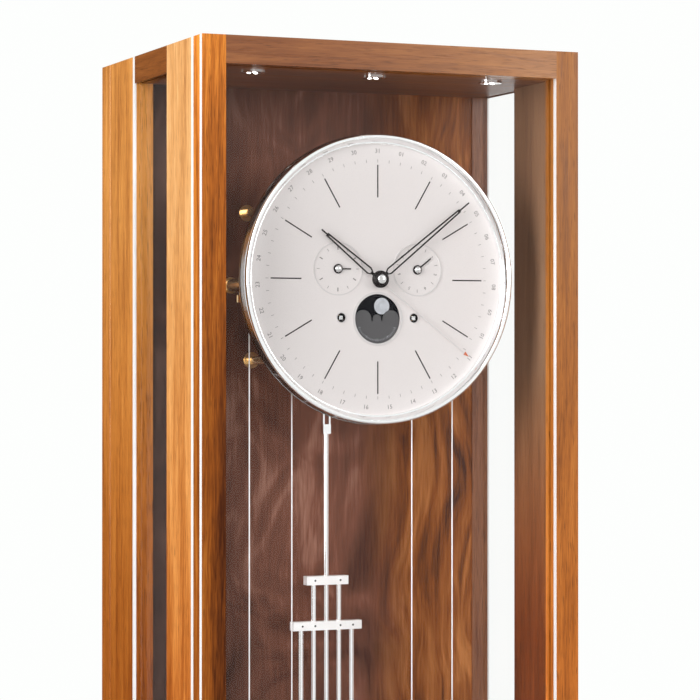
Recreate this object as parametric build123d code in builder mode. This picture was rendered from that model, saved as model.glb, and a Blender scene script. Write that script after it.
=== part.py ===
from build123d import *

import os
from math import atan2, cos, degrees, hypot, pi, radians, sin, sqrt

os.makedirs("parts", exist_ok=True)

# Weight-driven longcase clock: walnut case, glazed door, calendar dial, gridiron pendulum.
# Frame: X to the right, Y to the back, Z up. The origin is on the floor, at the middle of the
# plinth's footprint. Millimetres. Each piece is written to parts/ under its own name.

# ---------------------------------------------------------------- driving dimensions: case
CASE_WIDTH = 440.0
CASE_DEPTH = 350.0  # door's front face to the back of the rear cover
HEIGHT = 1950.0
PLINTH_HEIGHT = 60.0
PLINTH_PROUD = 10.0  # the plinth stands out this far in front and at both sides
SIDE_THICKNESS = 22.0  # a post's thickness, seen from the front
RAIL_HEIGHT = 30.0
BOTTOM_RAIL_HEIGHT = 90.0
BOARD_THICKNESS = 18.0
INLAY_WIDTH = 7.0
INLAY_DEPTH = 2.0
GLASS_THICKNESS = 4.0
PANE_RECESS = 4.5
PANE_BITE = 8.0  # how far a pane reaches into its groove

# depths are measured back from the door's front face
DOOR_THICKNESS = 27.0
POST_FRONT = 28.0
POST_BACK = 115.0
REAR_POST_FRONT = 227.0
REAR_POST_BACK = 317.0
BACK_PANEL_FRONT = 229.0
BACK_PANEL_BACK = 237.0
REAR_COVER_FRONT = 319.0

# door, lock and pivot hinges
DOOR_CLEARANCE = 3.0  # between the door's foot and the plinth
STILE_WIDTH = 26.5
STRIP_START = 0.8
DOOR_PANE_DEPTH = 17.0
HINGE_INSET = 6.0  # hinge axis in from the right stile's side and rear faces
HINGE_PLATE = 2.5
PLATE_GAP = 0.5
HINGE_PIN_RADIUS = 2.5
HINGE_PIN_LENGTH = 16.0
LOCK_INSET = 11.0
LOCK_HEIGHT = 1000.0
LOCK_RADIUS = 5.0
LOCK_FLANGE = 8.0
LOCK_PROUD = 1.5
KEY_RADIUS = 1.5

# ceiling lamps
SPOT_SPACING = 141.0
SPOT_DEPTH = 60.0
SPOT_RADIUS = 13.0
SPOT_CAN_RADIUS = 11.0
SPOT_CAN_HEIGHT = 12.0
SPOT_FLANGE = 2.0

# dial
DIAL_DROP = 252.5  # dial centre below the top of the case
BEZEL_RADIUS = 158.5
BEZEL_FRONT = 38.0
BEZEL_BACK = 58.0
DIAL_FRONT = 49.0
DIAL_BACK = 51.0
DIAL_RADIUS = 151.5
SUBDIAL_X = 47.0
SUBDIAL_Z = 11.0
SUBDIAL_RADIUS = 29.0
MOON_Z = -43.0
MOON_RADIUS = 27.0
HUMP_RADIUS = 9.6
HUMP_SPREAD = 16.4
WINDING_X = 43.0
WINDING_Z = -42.0
WINDING_HOLE = 5.0
RIM_HEIGHT = 0.8
DATE_PIPE = 5.0
HOUR_PIPE = 3.8
HAND_ARBOR = 2.2
SMALL_ARBOR = 1.5
STROKE = 1.5  # line width of the open-work hands
HAND_THICKNESS = 0.8
HOUR_BACK, MINUTE_BACK, DATE_BACK = 44.6, 43.2, 46.0  # rear faces of the three centre hands
HOUR_ANGLE, MINUTE_ANGLE, DATE_ANGLE = -52.0, 51.3, 128.0  # clockwise from twelve
SMALL_HAND_BACK = 48.4
HUB_RADIUS = 7.0
NUT_RADIUS, NUT_FRONT = 9.4, 36.5
SMALL_HUB = 5.2
MASK_THICKNESS = 0.6
MASK_LEVEL = -2.4  # foot of the notches between the mask's humps, from the moon's axis
RUN = 0.05  # radial clearance of a running fit

# movement
PLATE_FRONT = 95.0
PLATE_THICKNESS = 3.0
REAR_PLATE_FRONT = 131.0
PLATE_HALF_WIDTH = 92.0
PLATE_LOW, PLATE_HIGH = -96.0, 92.0
PILLAR_RADIUS = 4.0
BRACKET_FRONT = 136.0
BRACKET_THICKNESS = 4.0
BRACKET_WING_X = 52.0
BRACKET_HALF = 60.0
BRACKET_LOW, ROOF_LOW, ROOF_HIGH = -92.0, 92.0, 96.0  # from the dial's centre
FOOT_WIDTH, FOOT_HALF_HEIGHT = 20.0, 60.0
THUMB_DEPTH = 100.0
GREAT_TEETH, CENTRE_PINION = 96, 12
CENTRE_TEETH, THIRD_PINION = 64, 8
THIRD_TEETH, ESCAPE_PINION = 60, 8
ESCAPE_TEETH = 30
CENTRE_MODULE = 0.8
THIRD_MODULE = 0.7
ESCAPE_RADIUS = 18.0
THIRD_X = -8.0
GREAT_PLANE, CENTRE_PLANE = (100.0, 102.4), (107.0, 108.6)
THIRD_PLANE, ESCAPE_PLANE = (113.0, 114.5), (124.0, 125.4)
PINION_MARGIN = 0.6  # a pinion is longer than its wheel is thick, at both ends
PIVOT_RADIUS = 2.2
PIVOT_INSET = 1.7  # an arbor starts this far into the front plate
PIVOT_REACH = 2.5  # and ends this far into the rear plate
CRUTCH_DEPTH = 180.0
CRUTCH_DROP = 62.0

# drums, pulleys, cables and weights
CABLE_DEPTH = 121.0
CABLE_RADIUS = 0.8
CABLE_LEAD = 29.5  # drum axis to the middle of the cable
DRUM_RADIUS = 28.4
DRUM_FRONT, DRUM_BACK = 106.0, 128.0
DRUM_FLANGE = 1.5
DRUM_ARBOR = 4.0
WINDING_SQUARE = 4.2
WINDING_START = 57.0  # front end of the winding square
PULLEY_LEAD = 25.0  # pulley axis to the middle of the cable
PULLEY_GROOVE = 23.9
PULLEY_RADIUS = 28.0
PULLEY_WIDTH = 8.0
PULLEY_Z = 440.0  # above the floor, with the weights run down
HOOK_Z = -12.0  # fixed ends of the cables, from the dial's centre
STIRRUP_GAP = 0.6
STRAP = 2.5
AXLE_RADIUS = 3.0
WEIGHT_RADIUS = 30.0
WEIGHT_LENGTH = 235.0
WEIGHT_TOP = 385.0

# pendulum, heights from the dial's centre
PENDULUM_DEPTH = 199.0
ROD_RADIUS = 3.1
ROD_PITCH = 15.5
FORK_TOP, FORK_FOOT, ROD_TOP = 48.0, -161.0, -172.0
UPPER_NARROW, UPPER_WIDE = -339.0, -390.5
LOWER_WIDE, LOWER_NARROW = -752.0, -803.0
BAR_HEIGHT = 10.0
BAR_DEPTH = 11.0
BAR_PIN_RADIUS = 1.6
PRONG_X = (2.6, 4.6)  # the fork's two prongs, each side of the middle
BOB_RADIUS = 95.0
BOB_THICKNESS = 26.0
BOB_Z = -918.0
ROD_FOOT = -1045.0
NUT_HEIGHT = 14.0

# strike
BELL_X = 62.0
BELL_DEPTH = 185.0
BELL_RADIUS = 32.0
BELL_LOW, BELL_HIGH = 104.0, 128.0
HAMMER_X, HAMMER_Z = 0.0, 118.0

# ---------------------------------------------------------------- derived places
FRONT = PLINTH_PROUD / 2 - CASE_DEPTH / 2
HALF = CASE_WIDTH / 2
INNER = HALF - SIDE_THICKNESS
DOOR_BOTTOM = PLINTH_HEIGHT + DOOR_CLEARANCE
DOOR_HALF = HALF - STILE_WIDTH
DIAL_Z = HEIGHT - DIAL_DROP
CEILING = HEIGHT - RAIL_HEIGHT
HINGE_X = HALF - HINGE_INSET
HINGE_Y = FRONT + DOOR_THICKNESS - HINGE_INSET
HINGE_PLATE_X = (HINGE_X - 10.0, HINGE_X + 4.0)
HINGE_PLATE_Y = (HINGE_Y - 6.0, HINGE_Y + 45.0)
LOCK_X = -HALF + LOCK_INSET
GREAT_MODULE = 2 * hypot(WINDING_X, WINDING_Z) / (GREAT_TEETH + CENTRE_PINION)
CENTRE_SPAN = CENTRE_MODULE * (CENTRE_TEETH + THIRD_PINION) / 2
THIRD_SPAN = THIRD_MODULE * (THIRD_TEETH + ESCAPE_PINION) / 2
THIRD_Z = sqrt(CENTRE_SPAN**2 - THIRD_X**2)
ESCAPE_Z = THIRD_Z + sqrt(THIRD_SPAN**2 - THIRD_X**2)
SUSPENSION_Z = ESCAPE_Z + ESCAPE_RADIUS * sqrt(2)
CABLE_X = WINDING_X + CABLE_LEAD  # inner run of each cable
WEIGHT_X = CABLE_X + PULLEY_LEAD
HOOK_X = WEIGHT_X + PULLEY_LEAD
DIAL_PILLARS = ((121.0, 74.0, 5.0), (140.0, -6.0, 7.3), (116.0, -88.0, 4.6))  # x, z, radius
ARBORS = ((0.0, 0.0), (THIRD_X, THIRD_Z), (0.0, ESCAPE_Z), (0.0, SUSPENSION_Z),
          (-WINDING_X, WINDING_Z), (WINDING_X, WINDING_Z))


# ---------------------------------------------------------------- helpers
def back(depth):
    """Y of a point this far behind the door's front face."""
    return FRONT + depth


def save(piece, label):
    """Names a finished piece and writes it."""
    piece.part.label = label
    export_step(piece.part, f"parts/{label}.step")


def prism(x, y, z, mode=Mode.ADD):
    """Inside a part: a straight block between two limits along each axis."""
    with BuildSketch(Plane.XY.offset(z[0])) as outline:
        with Locations(((x[0] + x[1]) / 2, (y[0] + y[1]) / 2)):
            Rectangle(x[1] - x[0], y[1] - y[0])
    extrude(outline.sketch, amount=z[1] - z[0], mode=mode)


def facing(depth, x=0.0, z=0.0, clock_angle=0.0):
    """Upright plane seen from the front, at x, z from the dial's centre, turned clockwise."""
    turn = radians(clock_angle)
    return Plane(origin=(x, back(depth), DIAL_Z + z), x_dir=(cos(turn), 0, -sin(turn)),
                 z_dir=(0, -1, 0))


def barrel(front, rear, radius, x=0.0, z=0.0, mode=Mode.ADD):
    """Inside a part: a round length between two depths."""
    with BuildSketch(facing(rear, x, z)) as outline:
        Circle(radius)
    extrude(outline.sketch, amount=rear - front, mode=mode)


def upright(low, high, radius, x, y, mode=Mode.ADD):
    """Inside a part: a round length standing between two heights from the floor."""
    with BuildSketch(Plane.XY.offset(low)) as outline:
        with Locations((x, y)):
            Circle(radius)
    extrude(outline.sketch, amount=high - low, mode=mode)


def toothed(teeth, module, phase):
    """Inside a sketch: a toothed outline with one tooth centred at the phase angle."""
    pitch = 2 * pi / teeth
    tip = module * (teeth / 2 + 0.8)
    root = module * (teeth / 2 - 1.1)
    points = []
    for tooth in range(teeth):
        middle = radians(phase) + tooth * pitch
        for share, radius in ((-0.30, root), (-0.09, tip), (0.09, tip), (0.30, root)):
            angle = middle + share * pitch
            points.append((radius * cos(angle), radius * sin(angle)))
    with BuildLine() as outline:
        Polyline(*points, close=True)
    make_face(outline.edges())


def windows(count, inner, outer, web):
    """Inside a wheel's sketch: cuts the openings between its spokes."""
    sweep = 360 / count - 2 * web
    for spoke in range(count):
        start = 360 / count * spoke + web
        with BuildLine() as opening:
            CenterArc((0, 0), outer, start, sweep)
            CenterArc((0, 0), inner, start, sweep)
            for angle in (start, start + sweep):
                x, y = cos(radians(angle)), sin(radians(angle))
                Line((inner * x, inner * y), (outer * x, outer * y))
        make_face(opening.edges(), mode=Mode.SUBTRACT)


def bearing(a, b):
    """Angle, in degrees, of the line from one arbor to the next, seen from the front."""
    return degrees(atan2(b[1] - a[1], b[0] - a[0]))


# ---------------------------------------------------------------- case
def plinth():
    with BuildPart() as base:
        prism((-HALF - PLINTH_PROUD, HALF + PLINTH_PROUD), (FRONT - PLINTH_PROUD, back(CASE_DEPTH)),
              (0, PLINTH_HEIGHT))
        chamfer(base.faces().sort_by(Axis.Z)[-1].edges(), length=2)
    save(base, "plinth")


def hinge_beds():
    """Inside a part: cuts the beds that the two hinge plates lie in."""
    for low in (PLINTH_HEIGHT, HEIGHT - HINGE_PLATE):
        prism(HINGE_PLATE_X, HINGE_PLATE_Y, (low, low + HINGE_PLATE), mode=Mode.SUBTRACT)


def posts():
    """Four posts, each with a groove at its front outer corner for the pale strip."""
    for side, sign in (("left", -1), ("right", 1)):
        for place, near, far in (("front", POST_FRONT, POST_BACK),
                                 ("back", REAR_POST_FRONT, REAR_POST_BACK)):
            with BuildPart() as post:
                with BuildSketch(Plane.XY.offset(PLINTH_HEIGHT)):
                    with Locations((sign * (HALF + INNER) / 2, back((near + far) / 2))):
                        Rectangle(SIDE_THICKNESS, far - near)
                    with Locations((sign * (HALF - INLAY_DEPTH / 2), back(near + INLAY_WIDTH / 2))):
                        Rectangle(INLAY_DEPTH, INLAY_WIDTH, mode=Mode.SUBTRACT)
                extrude(amount=HEIGHT - PLINTH_HEIGHT)
                if place == "front" and side == "right":
                    hinge_beds()
            save(post, f"{side}_{place}_post")


def case_inlay_strips():
    with BuildPart() as strips:
        with BuildSketch(Plane.XY.offset(PLINTH_HEIGHT)):
            for sign in (-1, 1):
                for near in (POST_FRONT, REAR_POST_FRONT):
                    with Locations((sign * (HALF - INLAY_DEPTH / 2), back(near + INLAY_WIDTH / 2))):
                        Rectangle(INLAY_DEPTH, INLAY_WIDTH)
        extrude(amount=HEIGHT - PLINTH_HEIGHT)
    save(strips, "case_inlay_strips")


def bottom_board():
    with BuildPart() as bottom:
        prism((-INNER, INNER), (back(POST_FRONT), back(REAR_COVER_FRONT)),
              (PLINTH_HEIGHT, PLINTH_HEIGHT + BOARD_THICKNESS))
    save(bottom, "bottom_board")


def top_board():
    """The ceiling, with a hole for each lamp; it reaches back to the rear cover."""
    with BuildPart() as top:
        prism((-INNER, INNER), (back(POST_FRONT), back(REAR_COVER_FRONT)), (CEILING, HEIGHT))
        for x in (-SPOT_SPACING, 0, SPOT_SPACING):
            upright(CEILING, CEILING + SPOT_CAN_HEIGHT, SPOT_CAN_RADIUS, x, back(SPOT_DEPTH),
                    mode=Mode.SUBTRACT)
    save(top, "top_board")


def back_panel():
    with BuildPart() as panel:
        prism((-INNER, INNER), (back(BACK_PANEL_FRONT), back(BACK_PANEL_BACK)),
              (PLINTH_HEIGHT + BOARD_THICKNESS, CEILING))
    save(panel, "back_panel")


def rear_cover():
    with BuildPart() as cover:
        prism((-HALF, HALF), (back(REAR_COVER_FRONT), back(CASE_DEPTH)), (PLINTH_HEIGHT, HEIGHT))
        chamfer(cover.edges().filter_by(Axis.Z), length=1)
    save(cover, "rear_cover")


def ceiling_spots():
    """Recessed lamps: a can in the ceiling's hole, with a thin flange below it."""
    with BuildPart() as spots:
        for x in (-SPOT_SPACING, 0, SPOT_SPACING):
            upright(CEILING, CEILING + SPOT_CAN_HEIGHT, SPOT_CAN_RADIUS, x, back(SPOT_DEPTH))
            upright(CEILING - SPOT_FLANGE, CEILING, SPOT_RADIUS, x, back(SPOT_DEPTH))
    save(spots, "ceiling_spots")


def side_frames():
    """Rails between the posts, and the panes that sit in their grooves."""
    span = (back(POST_BACK), back(REAR_POST_FRONT))
    pane_z = (PLINTH_HEIGHT + BOTTOM_RAIL_HEIGHT - PANE_BITE, CEILING + PANE_BITE)
    near = HALF - PANE_RECESS - GLASS_THICKNESS
    panes = ((near, near + GLASS_THICKNESS), (-near - GLASS_THICKNESS, -near))
    with BuildPart() as rails:
        for limits in ((INNER, HALF), (-HALF, -INNER)):
            prism(limits, span, (PLINTH_HEIGHT, PLINTH_HEIGHT + BOTTOM_RAIL_HEIGHT))
            prism(limits, span, (CEILING, HEIGHT))
        for limits in panes:
            prism(limits, span, pane_z, mode=Mode.SUBTRACT)
    save(rails, "side_rails")
    with BuildPart() as glasses:
        for limits in panes:
            prism(limits, span, pane_z)
    save(glasses, "side_glasses")


# ---------------------------------------------------------------- hinges and door
def hinges():
    """Two flat pivot plates let into the post, and the pins the door turns on."""
    with BuildPart() as plates:
        for low in (PLINTH_HEIGHT, HEIGHT - HINGE_PLATE):
            prism(HINGE_PLATE_X, HINGE_PLATE_Y, (low, low + HINGE_PLATE))
            upright(low, low + HINGE_PLATE, HINGE_PIN_RADIUS, HINGE_X, HINGE_Y, mode=Mode.SUBTRACT)
    save(plates, "hinge_plates")
    with BuildPart() as pins:
        for low in (PLINTH_HEIGHT, HEIGHT - HINGE_PIN_LENGTH):
            upright(low, low + HINGE_PIN_LENGTH, HINGE_PIN_RADIUS, HINGE_X, HINGE_Y)
    save(pins, "hinge_pins")


def stile_section(sign):
    """Inside a sketch: one stile's section, with its glass groove and strip grooves."""
    with Locations((sign * (HALF - STILE_WIDTH / 2), back(DOOR_THICKNESS / 2))):
        Rectangle(STILE_WIDTH, DOOR_THICKNESS)
    for x in (HALF - INLAY_DEPTH / 2, DOOR_HALF + INLAY_DEPTH / 2):
        with Locations((sign * x, back(STRIP_START + INLAY_WIDTH / 2))):
            Rectangle(INLAY_DEPTH, INLAY_WIDTH, mode=Mode.SUBTRACT)
    with Locations((sign * (DOOR_HALF + PANE_BITE / 2), back(DOOR_PANE_DEPTH))):
        Rectangle(PANE_BITE, GLASS_THICKNESS, mode=Mode.SUBTRACT)


def left_stile():
    with BuildPart() as stile:
        with BuildSketch(Plane.XY.offset(DOOR_BOTTOM)):
            stile_section(-1)
        extrude(amount=HEIGHT - DOOR_BOTTOM)
        barrel(0, DOOR_THICKNESS, LOCK_RADIUS, LOCK_X, LOCK_HEIGHT - DIAL_Z, mode=Mode.SUBTRACT)
    save(stile, "door_left_stile")


def right_stile():
    """The hinged stile: its rear corner is rounded about the hinge axis."""
    with BuildPart() as stile:
        with BuildSketch(Plane.XY.offset(DOOR_BOTTOM)):
            stile_section(1)
            with Locations(((HALF + HINGE_X) / 2, (back(DOOR_THICKNESS) + HINGE_Y) / 2)):
                Rectangle(HINGE_INSET, HINGE_INSET, mode=Mode.SUBTRACT)
            with Locations((HINGE_X, HINGE_Y)):
                Circle(HINGE_INSET)
        extrude(amount=HEIGHT - DOOR_BOTTOM)
        prism((HINGE_PLATE_X[0] - 2.5, HALF), (HINGE_PLATE_Y[0] - 2, back(DOOR_THICKNESS)),
              (HEIGHT - HINGE_PLATE - PLATE_GAP, HEIGHT), mode=Mode.SUBTRACT)
        for low in (DOOR_BOTTOM, HEIGHT - HINGE_PIN_LENGTH - 1):
            upright(low, low + HINGE_PIN_LENGTH + 1, HINGE_PIN_RADIUS + RUN, HINGE_X, HINGE_Y,
                    mode=Mode.SUBTRACT)
    save(stile, "door_right_stile")


def door_rails_and_glass():
    pane = (back(DOOR_PANE_DEPTH) - GLASS_THICKNESS / 2, back(DOOR_PANE_DEPTH) + GLASS_THICKNESS / 2)
    rail_top = DOOR_BOTTOM + BOTTOM_RAIL_HEIGHT
    with BuildPart() as bottom:
        prism((-DOOR_HALF, DOOR_HALF), (FRONT, back(DOOR_THICKNESS)), (DOOR_BOTTOM, rail_top))
        prism((-DOOR_HALF, DOOR_HALF), pane, (rail_top - PANE_BITE, rail_top), mode=Mode.SUBTRACT)
    save(bottom, "door_bottom_rail")
    with BuildPart() as top:
        prism((-DOOR_HALF, DOOR_HALF), (FRONT, back(DOOR_THICKNESS)), (CEILING, HEIGHT))
        prism((-DOOR_HALF, DOOR_HALF), pane, (CEILING, CEILING + PANE_BITE), mode=Mode.SUBTRACT)
    save(top, "door_top_rail")
    with BuildPart() as glass:
        prism((-DOOR_HALF - PANE_BITE, DOOR_HALF + PANE_BITE), pane,
              (rail_top - PANE_BITE, CEILING + PANE_BITE))
        for sign, low, high in ((-1, DOOR_BOTTOM, rail_top), (1, DOOR_BOTTOM, rail_top),
                                (-1, CEILING, HEIGHT), (1, CEILING, HEIGHT)):
            corner = (sign * DOOR_HALF, sign * (DOOR_HALF + PANE_BITE))
            prism((min(corner), max(corner)), pane, (low, high), mode=Mode.SUBTRACT)
    save(glass, "door_glass")


def door_inlay_strips():
    with BuildPart() as strips:
        with BuildSketch(Plane.XY.offset(DOOR_BOTTOM)):
            for sign in (-1, 1):
                for x in (HALF - INLAY_DEPTH / 2, DOOR_HALF + INLAY_DEPTH / 2):
                    with Locations((sign * x, back(STRIP_START + INLAY_WIDTH / 2))):
                        Rectangle(INLAY_DEPTH, INLAY_WIDTH)
        extrude(amount=HEIGHT - DOOR_BOTTOM)
    save(strips, "door_inlay_strips")


def door_lock_and_key():
    """A small barrel lock; the key's round shank turns in its blind bore."""
    z = LOCK_HEIGHT - DIAL_Z
    with BuildPart() as lock:
        barrel(0, DOOR_THICKNESS, LOCK_RADIUS, LOCK_X, z)
        barrel(-LOCK_PROUD, 0, LOCK_FLANGE, LOCK_X, z)
        barrel(-LOCK_PROUD, DOOR_THICKNESS - 5, KEY_RADIUS + RUN, LOCK_X, z, mode=Mode.SUBTRACT)
    save(lock, "door_lock")
    with BuildPart() as key:
        barrel(-2.4, DOOR_THICKNESS - 6, KEY_RADIUS, LOCK_X, z)
        with BuildSketch(Plane(origin=(LOCK_X - 0.8, back(-4.9), LOCK_HEIGHT), x_dir=(0, 1, 0),
                               z_dir=(1, 0, 0))):
            Ellipse(3.2, 8.0)
            Ellipse(1.7, 6.0, mode=Mode.SUBTRACT)
        extrude(amount=1.6)
    save(key, "door_key")


# ---------------------------------------------------------------- dial
def bezel():
    """Deep drum: outer wall, rounded front ring and an inner slope down to the dial."""
    outer = BEZEL_RADIUS
    profile = (
        (outer, BEZEL_BACK),
        (outer, BEZEL_FRONT + 1.5),
        (outer - 1.5, BEZEL_FRONT),
        (outer - 4.0, BEZEL_FRONT),
        (outer - 5.0, BEZEL_FRONT + 1.2),
        (outer - 9.0, BEZEL_FRONT + 6.0),
        (outer - 11.0, DIAL_FRONT),
        (outer - 7.0, DIAL_FRONT),
        (outer - 7.0, BEZEL_BACK),
    )
    with BuildPart() as drum:
        with BuildSketch(Plane.XY.offset(DIAL_Z)):
            with BuildLine():
                Polyline(*[(radius, back(depth)) for radius, depth in profile], close=True)
            make_face()
        revolve(axis=Axis((0, 0, DIAL_Z), (0, 1, 0)), revolution_arc=360)
    save(drum, "bezel")


def dial_plate():
    with BuildPart() as plate:
        with BuildSketch(facing(DIAL_BACK)):
            Circle(DIAL_RADIUS)
            Circle(DATE_PIPE + RUN, mode=Mode.SUBTRACT)
            with Locations((0, MOON_Z)):
                Circle(MOON_RADIUS, mode=Mode.SUBTRACT)
            with Locations((-WINDING_X, WINDING_Z), (WINDING_X, WINDING_Z)):
                Circle(WINDING_HOLE, mode=Mode.SUBTRACT)
            with Locations((-SUBDIAL_X, SUBDIAL_Z), (SUBDIAL_X, SUBDIAL_Z)):
                Circle(SMALL_ARBOR + RUN, mode=Mode.SUBTRACT)
        extrude(amount=DIAL_BACK - DIAL_FRONT)
    save(plate, "dial_plate")


def dial_rims():
    """Thin raised rims: two sub-dials, the moon window and the two winding holes."""
    rings = (
        (-SUBDIAL_X, SUBDIAL_Z, SUBDIAL_RADIUS, SUBDIAL_RADIUS - 1.2),
        (SUBDIAL_X, SUBDIAL_Z, SUBDIAL_RADIUS, SUBDIAL_RADIUS - 1.2),
        (0, MOON_Z, MOON_RADIUS + 2.6, MOON_RADIUS),
        (-WINDING_X, WINDING_Z, WINDING_HOLE + 1.2, WINDING_HOLE),
        (WINDING_X, WINDING_Z, WINDING_HOLE + 1.2, WINDING_HOLE),
    )
    with BuildPart() as rims:
        for x, z, outer, inner in rings:
            with BuildSketch(facing(DIAL_FRONT, x, z)):
                Circle(outer)
                Circle(inner, mode=Mode.SUBTRACT)
            extrude(amount=RIM_HEIGHT)
    save(rims, "dial_rims")


def moon():
    """The mask fills the window's lower part and has two humps; the disc turns behind it."""
    mask_back = DIAL_BACK + MASK_THICKNESS
    with BuildPart() as mask:
        with BuildSketch(facing(mask_back, 0, MOON_Z)):
            Circle(MOON_RADIUS + 2.5)
            with Locations((0, MASK_LEVEL + MOON_RADIUS)):
                Rectangle(3 * MOON_RADIUS, 2 * MOON_RADIUS, mode=Mode.SUBTRACT)
            for x, radius in ((-HUMP_SPREAD, HUMP_RADIUS), (0, HUMP_RADIUS / 2), (HUMP_SPREAD, HUMP_RADIUS)):
                with Locations((x, 0)):
                    Circle(radius)
                with Locations((x, MASK_LEVEL / 2)):
                    Rectangle(2 * radius, -MASK_LEVEL)
        extrude(amount=MASK_THICKNESS)
    save(mask, "moon_mask")
    with BuildPart() as disc:
        barrel(mask_back + 0.4, mask_back + 1.2, MOON_RADIUS + 2.5, 0, MOON_Z)
        barrel(mask_back + 1.2, PLATE_FRONT + 2, SMALL_ARBOR, 0, MOON_Z)
    save(disc, "moon_disc")


def hand_loop(start, end, base_half, tip_half, mode=Mode.ADD):
    """Inside a sketch: a filled tapering loop, broad end towards the hub."""
    with BuildLine() as outline:
        Polyline((-tip_half, end), (-base_half, start + base_half), (-base_half / 2, start),
                 (base_half / 2, start), (base_half, start + base_half), (tip_half, end), close=True)
    make_face(outline.edges(), mode=mode)


def open_hand(plane, start, end, tip, base_half, hub=HUB_RADIUS, tip_half=2.0):
    """Inside a part: an open-work hand with a solid needle at its end."""
    with BuildSketch(plane) as outline:
        hand_loop(start, end, base_half, tip_half)
        hand_loop(start + STROKE, end - 2 * STROKE, base_half - STROKE, tip_half - STROKE,
                  mode=Mode.SUBTRACT)
        with Locations((0, (end + tip) / 2 - 0.5)):
            Rectangle(STROKE, tip - end + 1)
        with Locations((0, (hub + start) / 2)):
            Rectangle(2 * STROKE, start - hub + 2 * STROKE)
        Circle(hub)
    extrude(outline.sketch, amount=HAND_THICKNESS)


def main_hands():
    """Hour and minute hand at about eight minutes past ten; each runs back as pipe or arbor."""
    with BuildPart() as hour:
        open_hand(facing(HOUR_BACK, clock_angle=HOUR_ANGLE), start=11, end=78, tip=86, base_half=4.2)
        barrel(HOUR_BACK, 92, HOUR_PIPE)
        barrel(75, 77, 16)  # hour wheel
        barrel(MINUTE_BACK - RUN, 93, HAND_ARBOR + RUN, mode=Mode.SUBTRACT)
    save(hour, "hour_hand")
    with BuildPart() as minute:
        open_hand(facing(MINUTE_BACK, clock_angle=MINUTE_ANGLE), start=10.5, end=123, tip=137,
                  base_half=4.0)
        barrel(MINUTE_BACK, PLATE_FRONT + 1.4, HAND_ARBOR)
        barrel(NUT_FRONT, MINUTE_BACK - HAND_THICKNESS, NUT_RADIUS)
        chamfer(minute.faces().sort_by(Axis.Y)[0].edges(), length=3.2)
    save(minute, "minute_hand")


def date_hand():
    """Long thin hand with an arrow tip; its pipe carries the date wheel."""
    with BuildPart() as date:
        with BuildSketch(facing(DATE_BACK, clock_angle=DATE_ANGLE)):
            with BuildLine():
                Polyline((-0.7, 0), (-0.45, 130), (-2.2, 130), (0, 137), (2.2, 130), (0.45, 130),
                         (0.7, 0), close=True)
            make_face()
            Circle(HUB_RADIUS)
        extrude(amount=0.5)
        barrel(DATE_BACK, 62, DATE_PIPE)
        barrel(57, 58.5, 20)  # date wheel
        barrel(DATE_BACK - 1, 63, HOUR_PIPE + RUN, mode=Mode.SUBTRACT)
    save(date, "date_hand")


def small_hand(label, x, angle, length):
    """A sub-dial hand with a domed hub, on an arbor that turns in the dial plate."""
    with BuildPart() as pointer:
        with BuildSketch(facing(SMALL_HAND_BACK, x, SUBDIAL_Z, angle)):
            with Locations((0, length / 2)):
                Rectangle(1.4, length)
            Circle(SMALL_HUB)
        extrude(amount=0.6)
        barrel(SMALL_HAND_BACK - 1.9, SMALL_HAND_BACK - 0.6, SMALL_HUB, x, SUBDIAL_Z)
        chamfer(pointer.faces().sort_by(Axis.Y)[0].edges(), length=0.9)
        barrel(SMALL_HAND_BACK, 60, SMALL_ARBOR, x, SUBDIAL_Z)
        barrel(56, 57.5, 8, x, SUBDIAL_Z)  # wheel behind the dial
    save(pointer, label)


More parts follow.
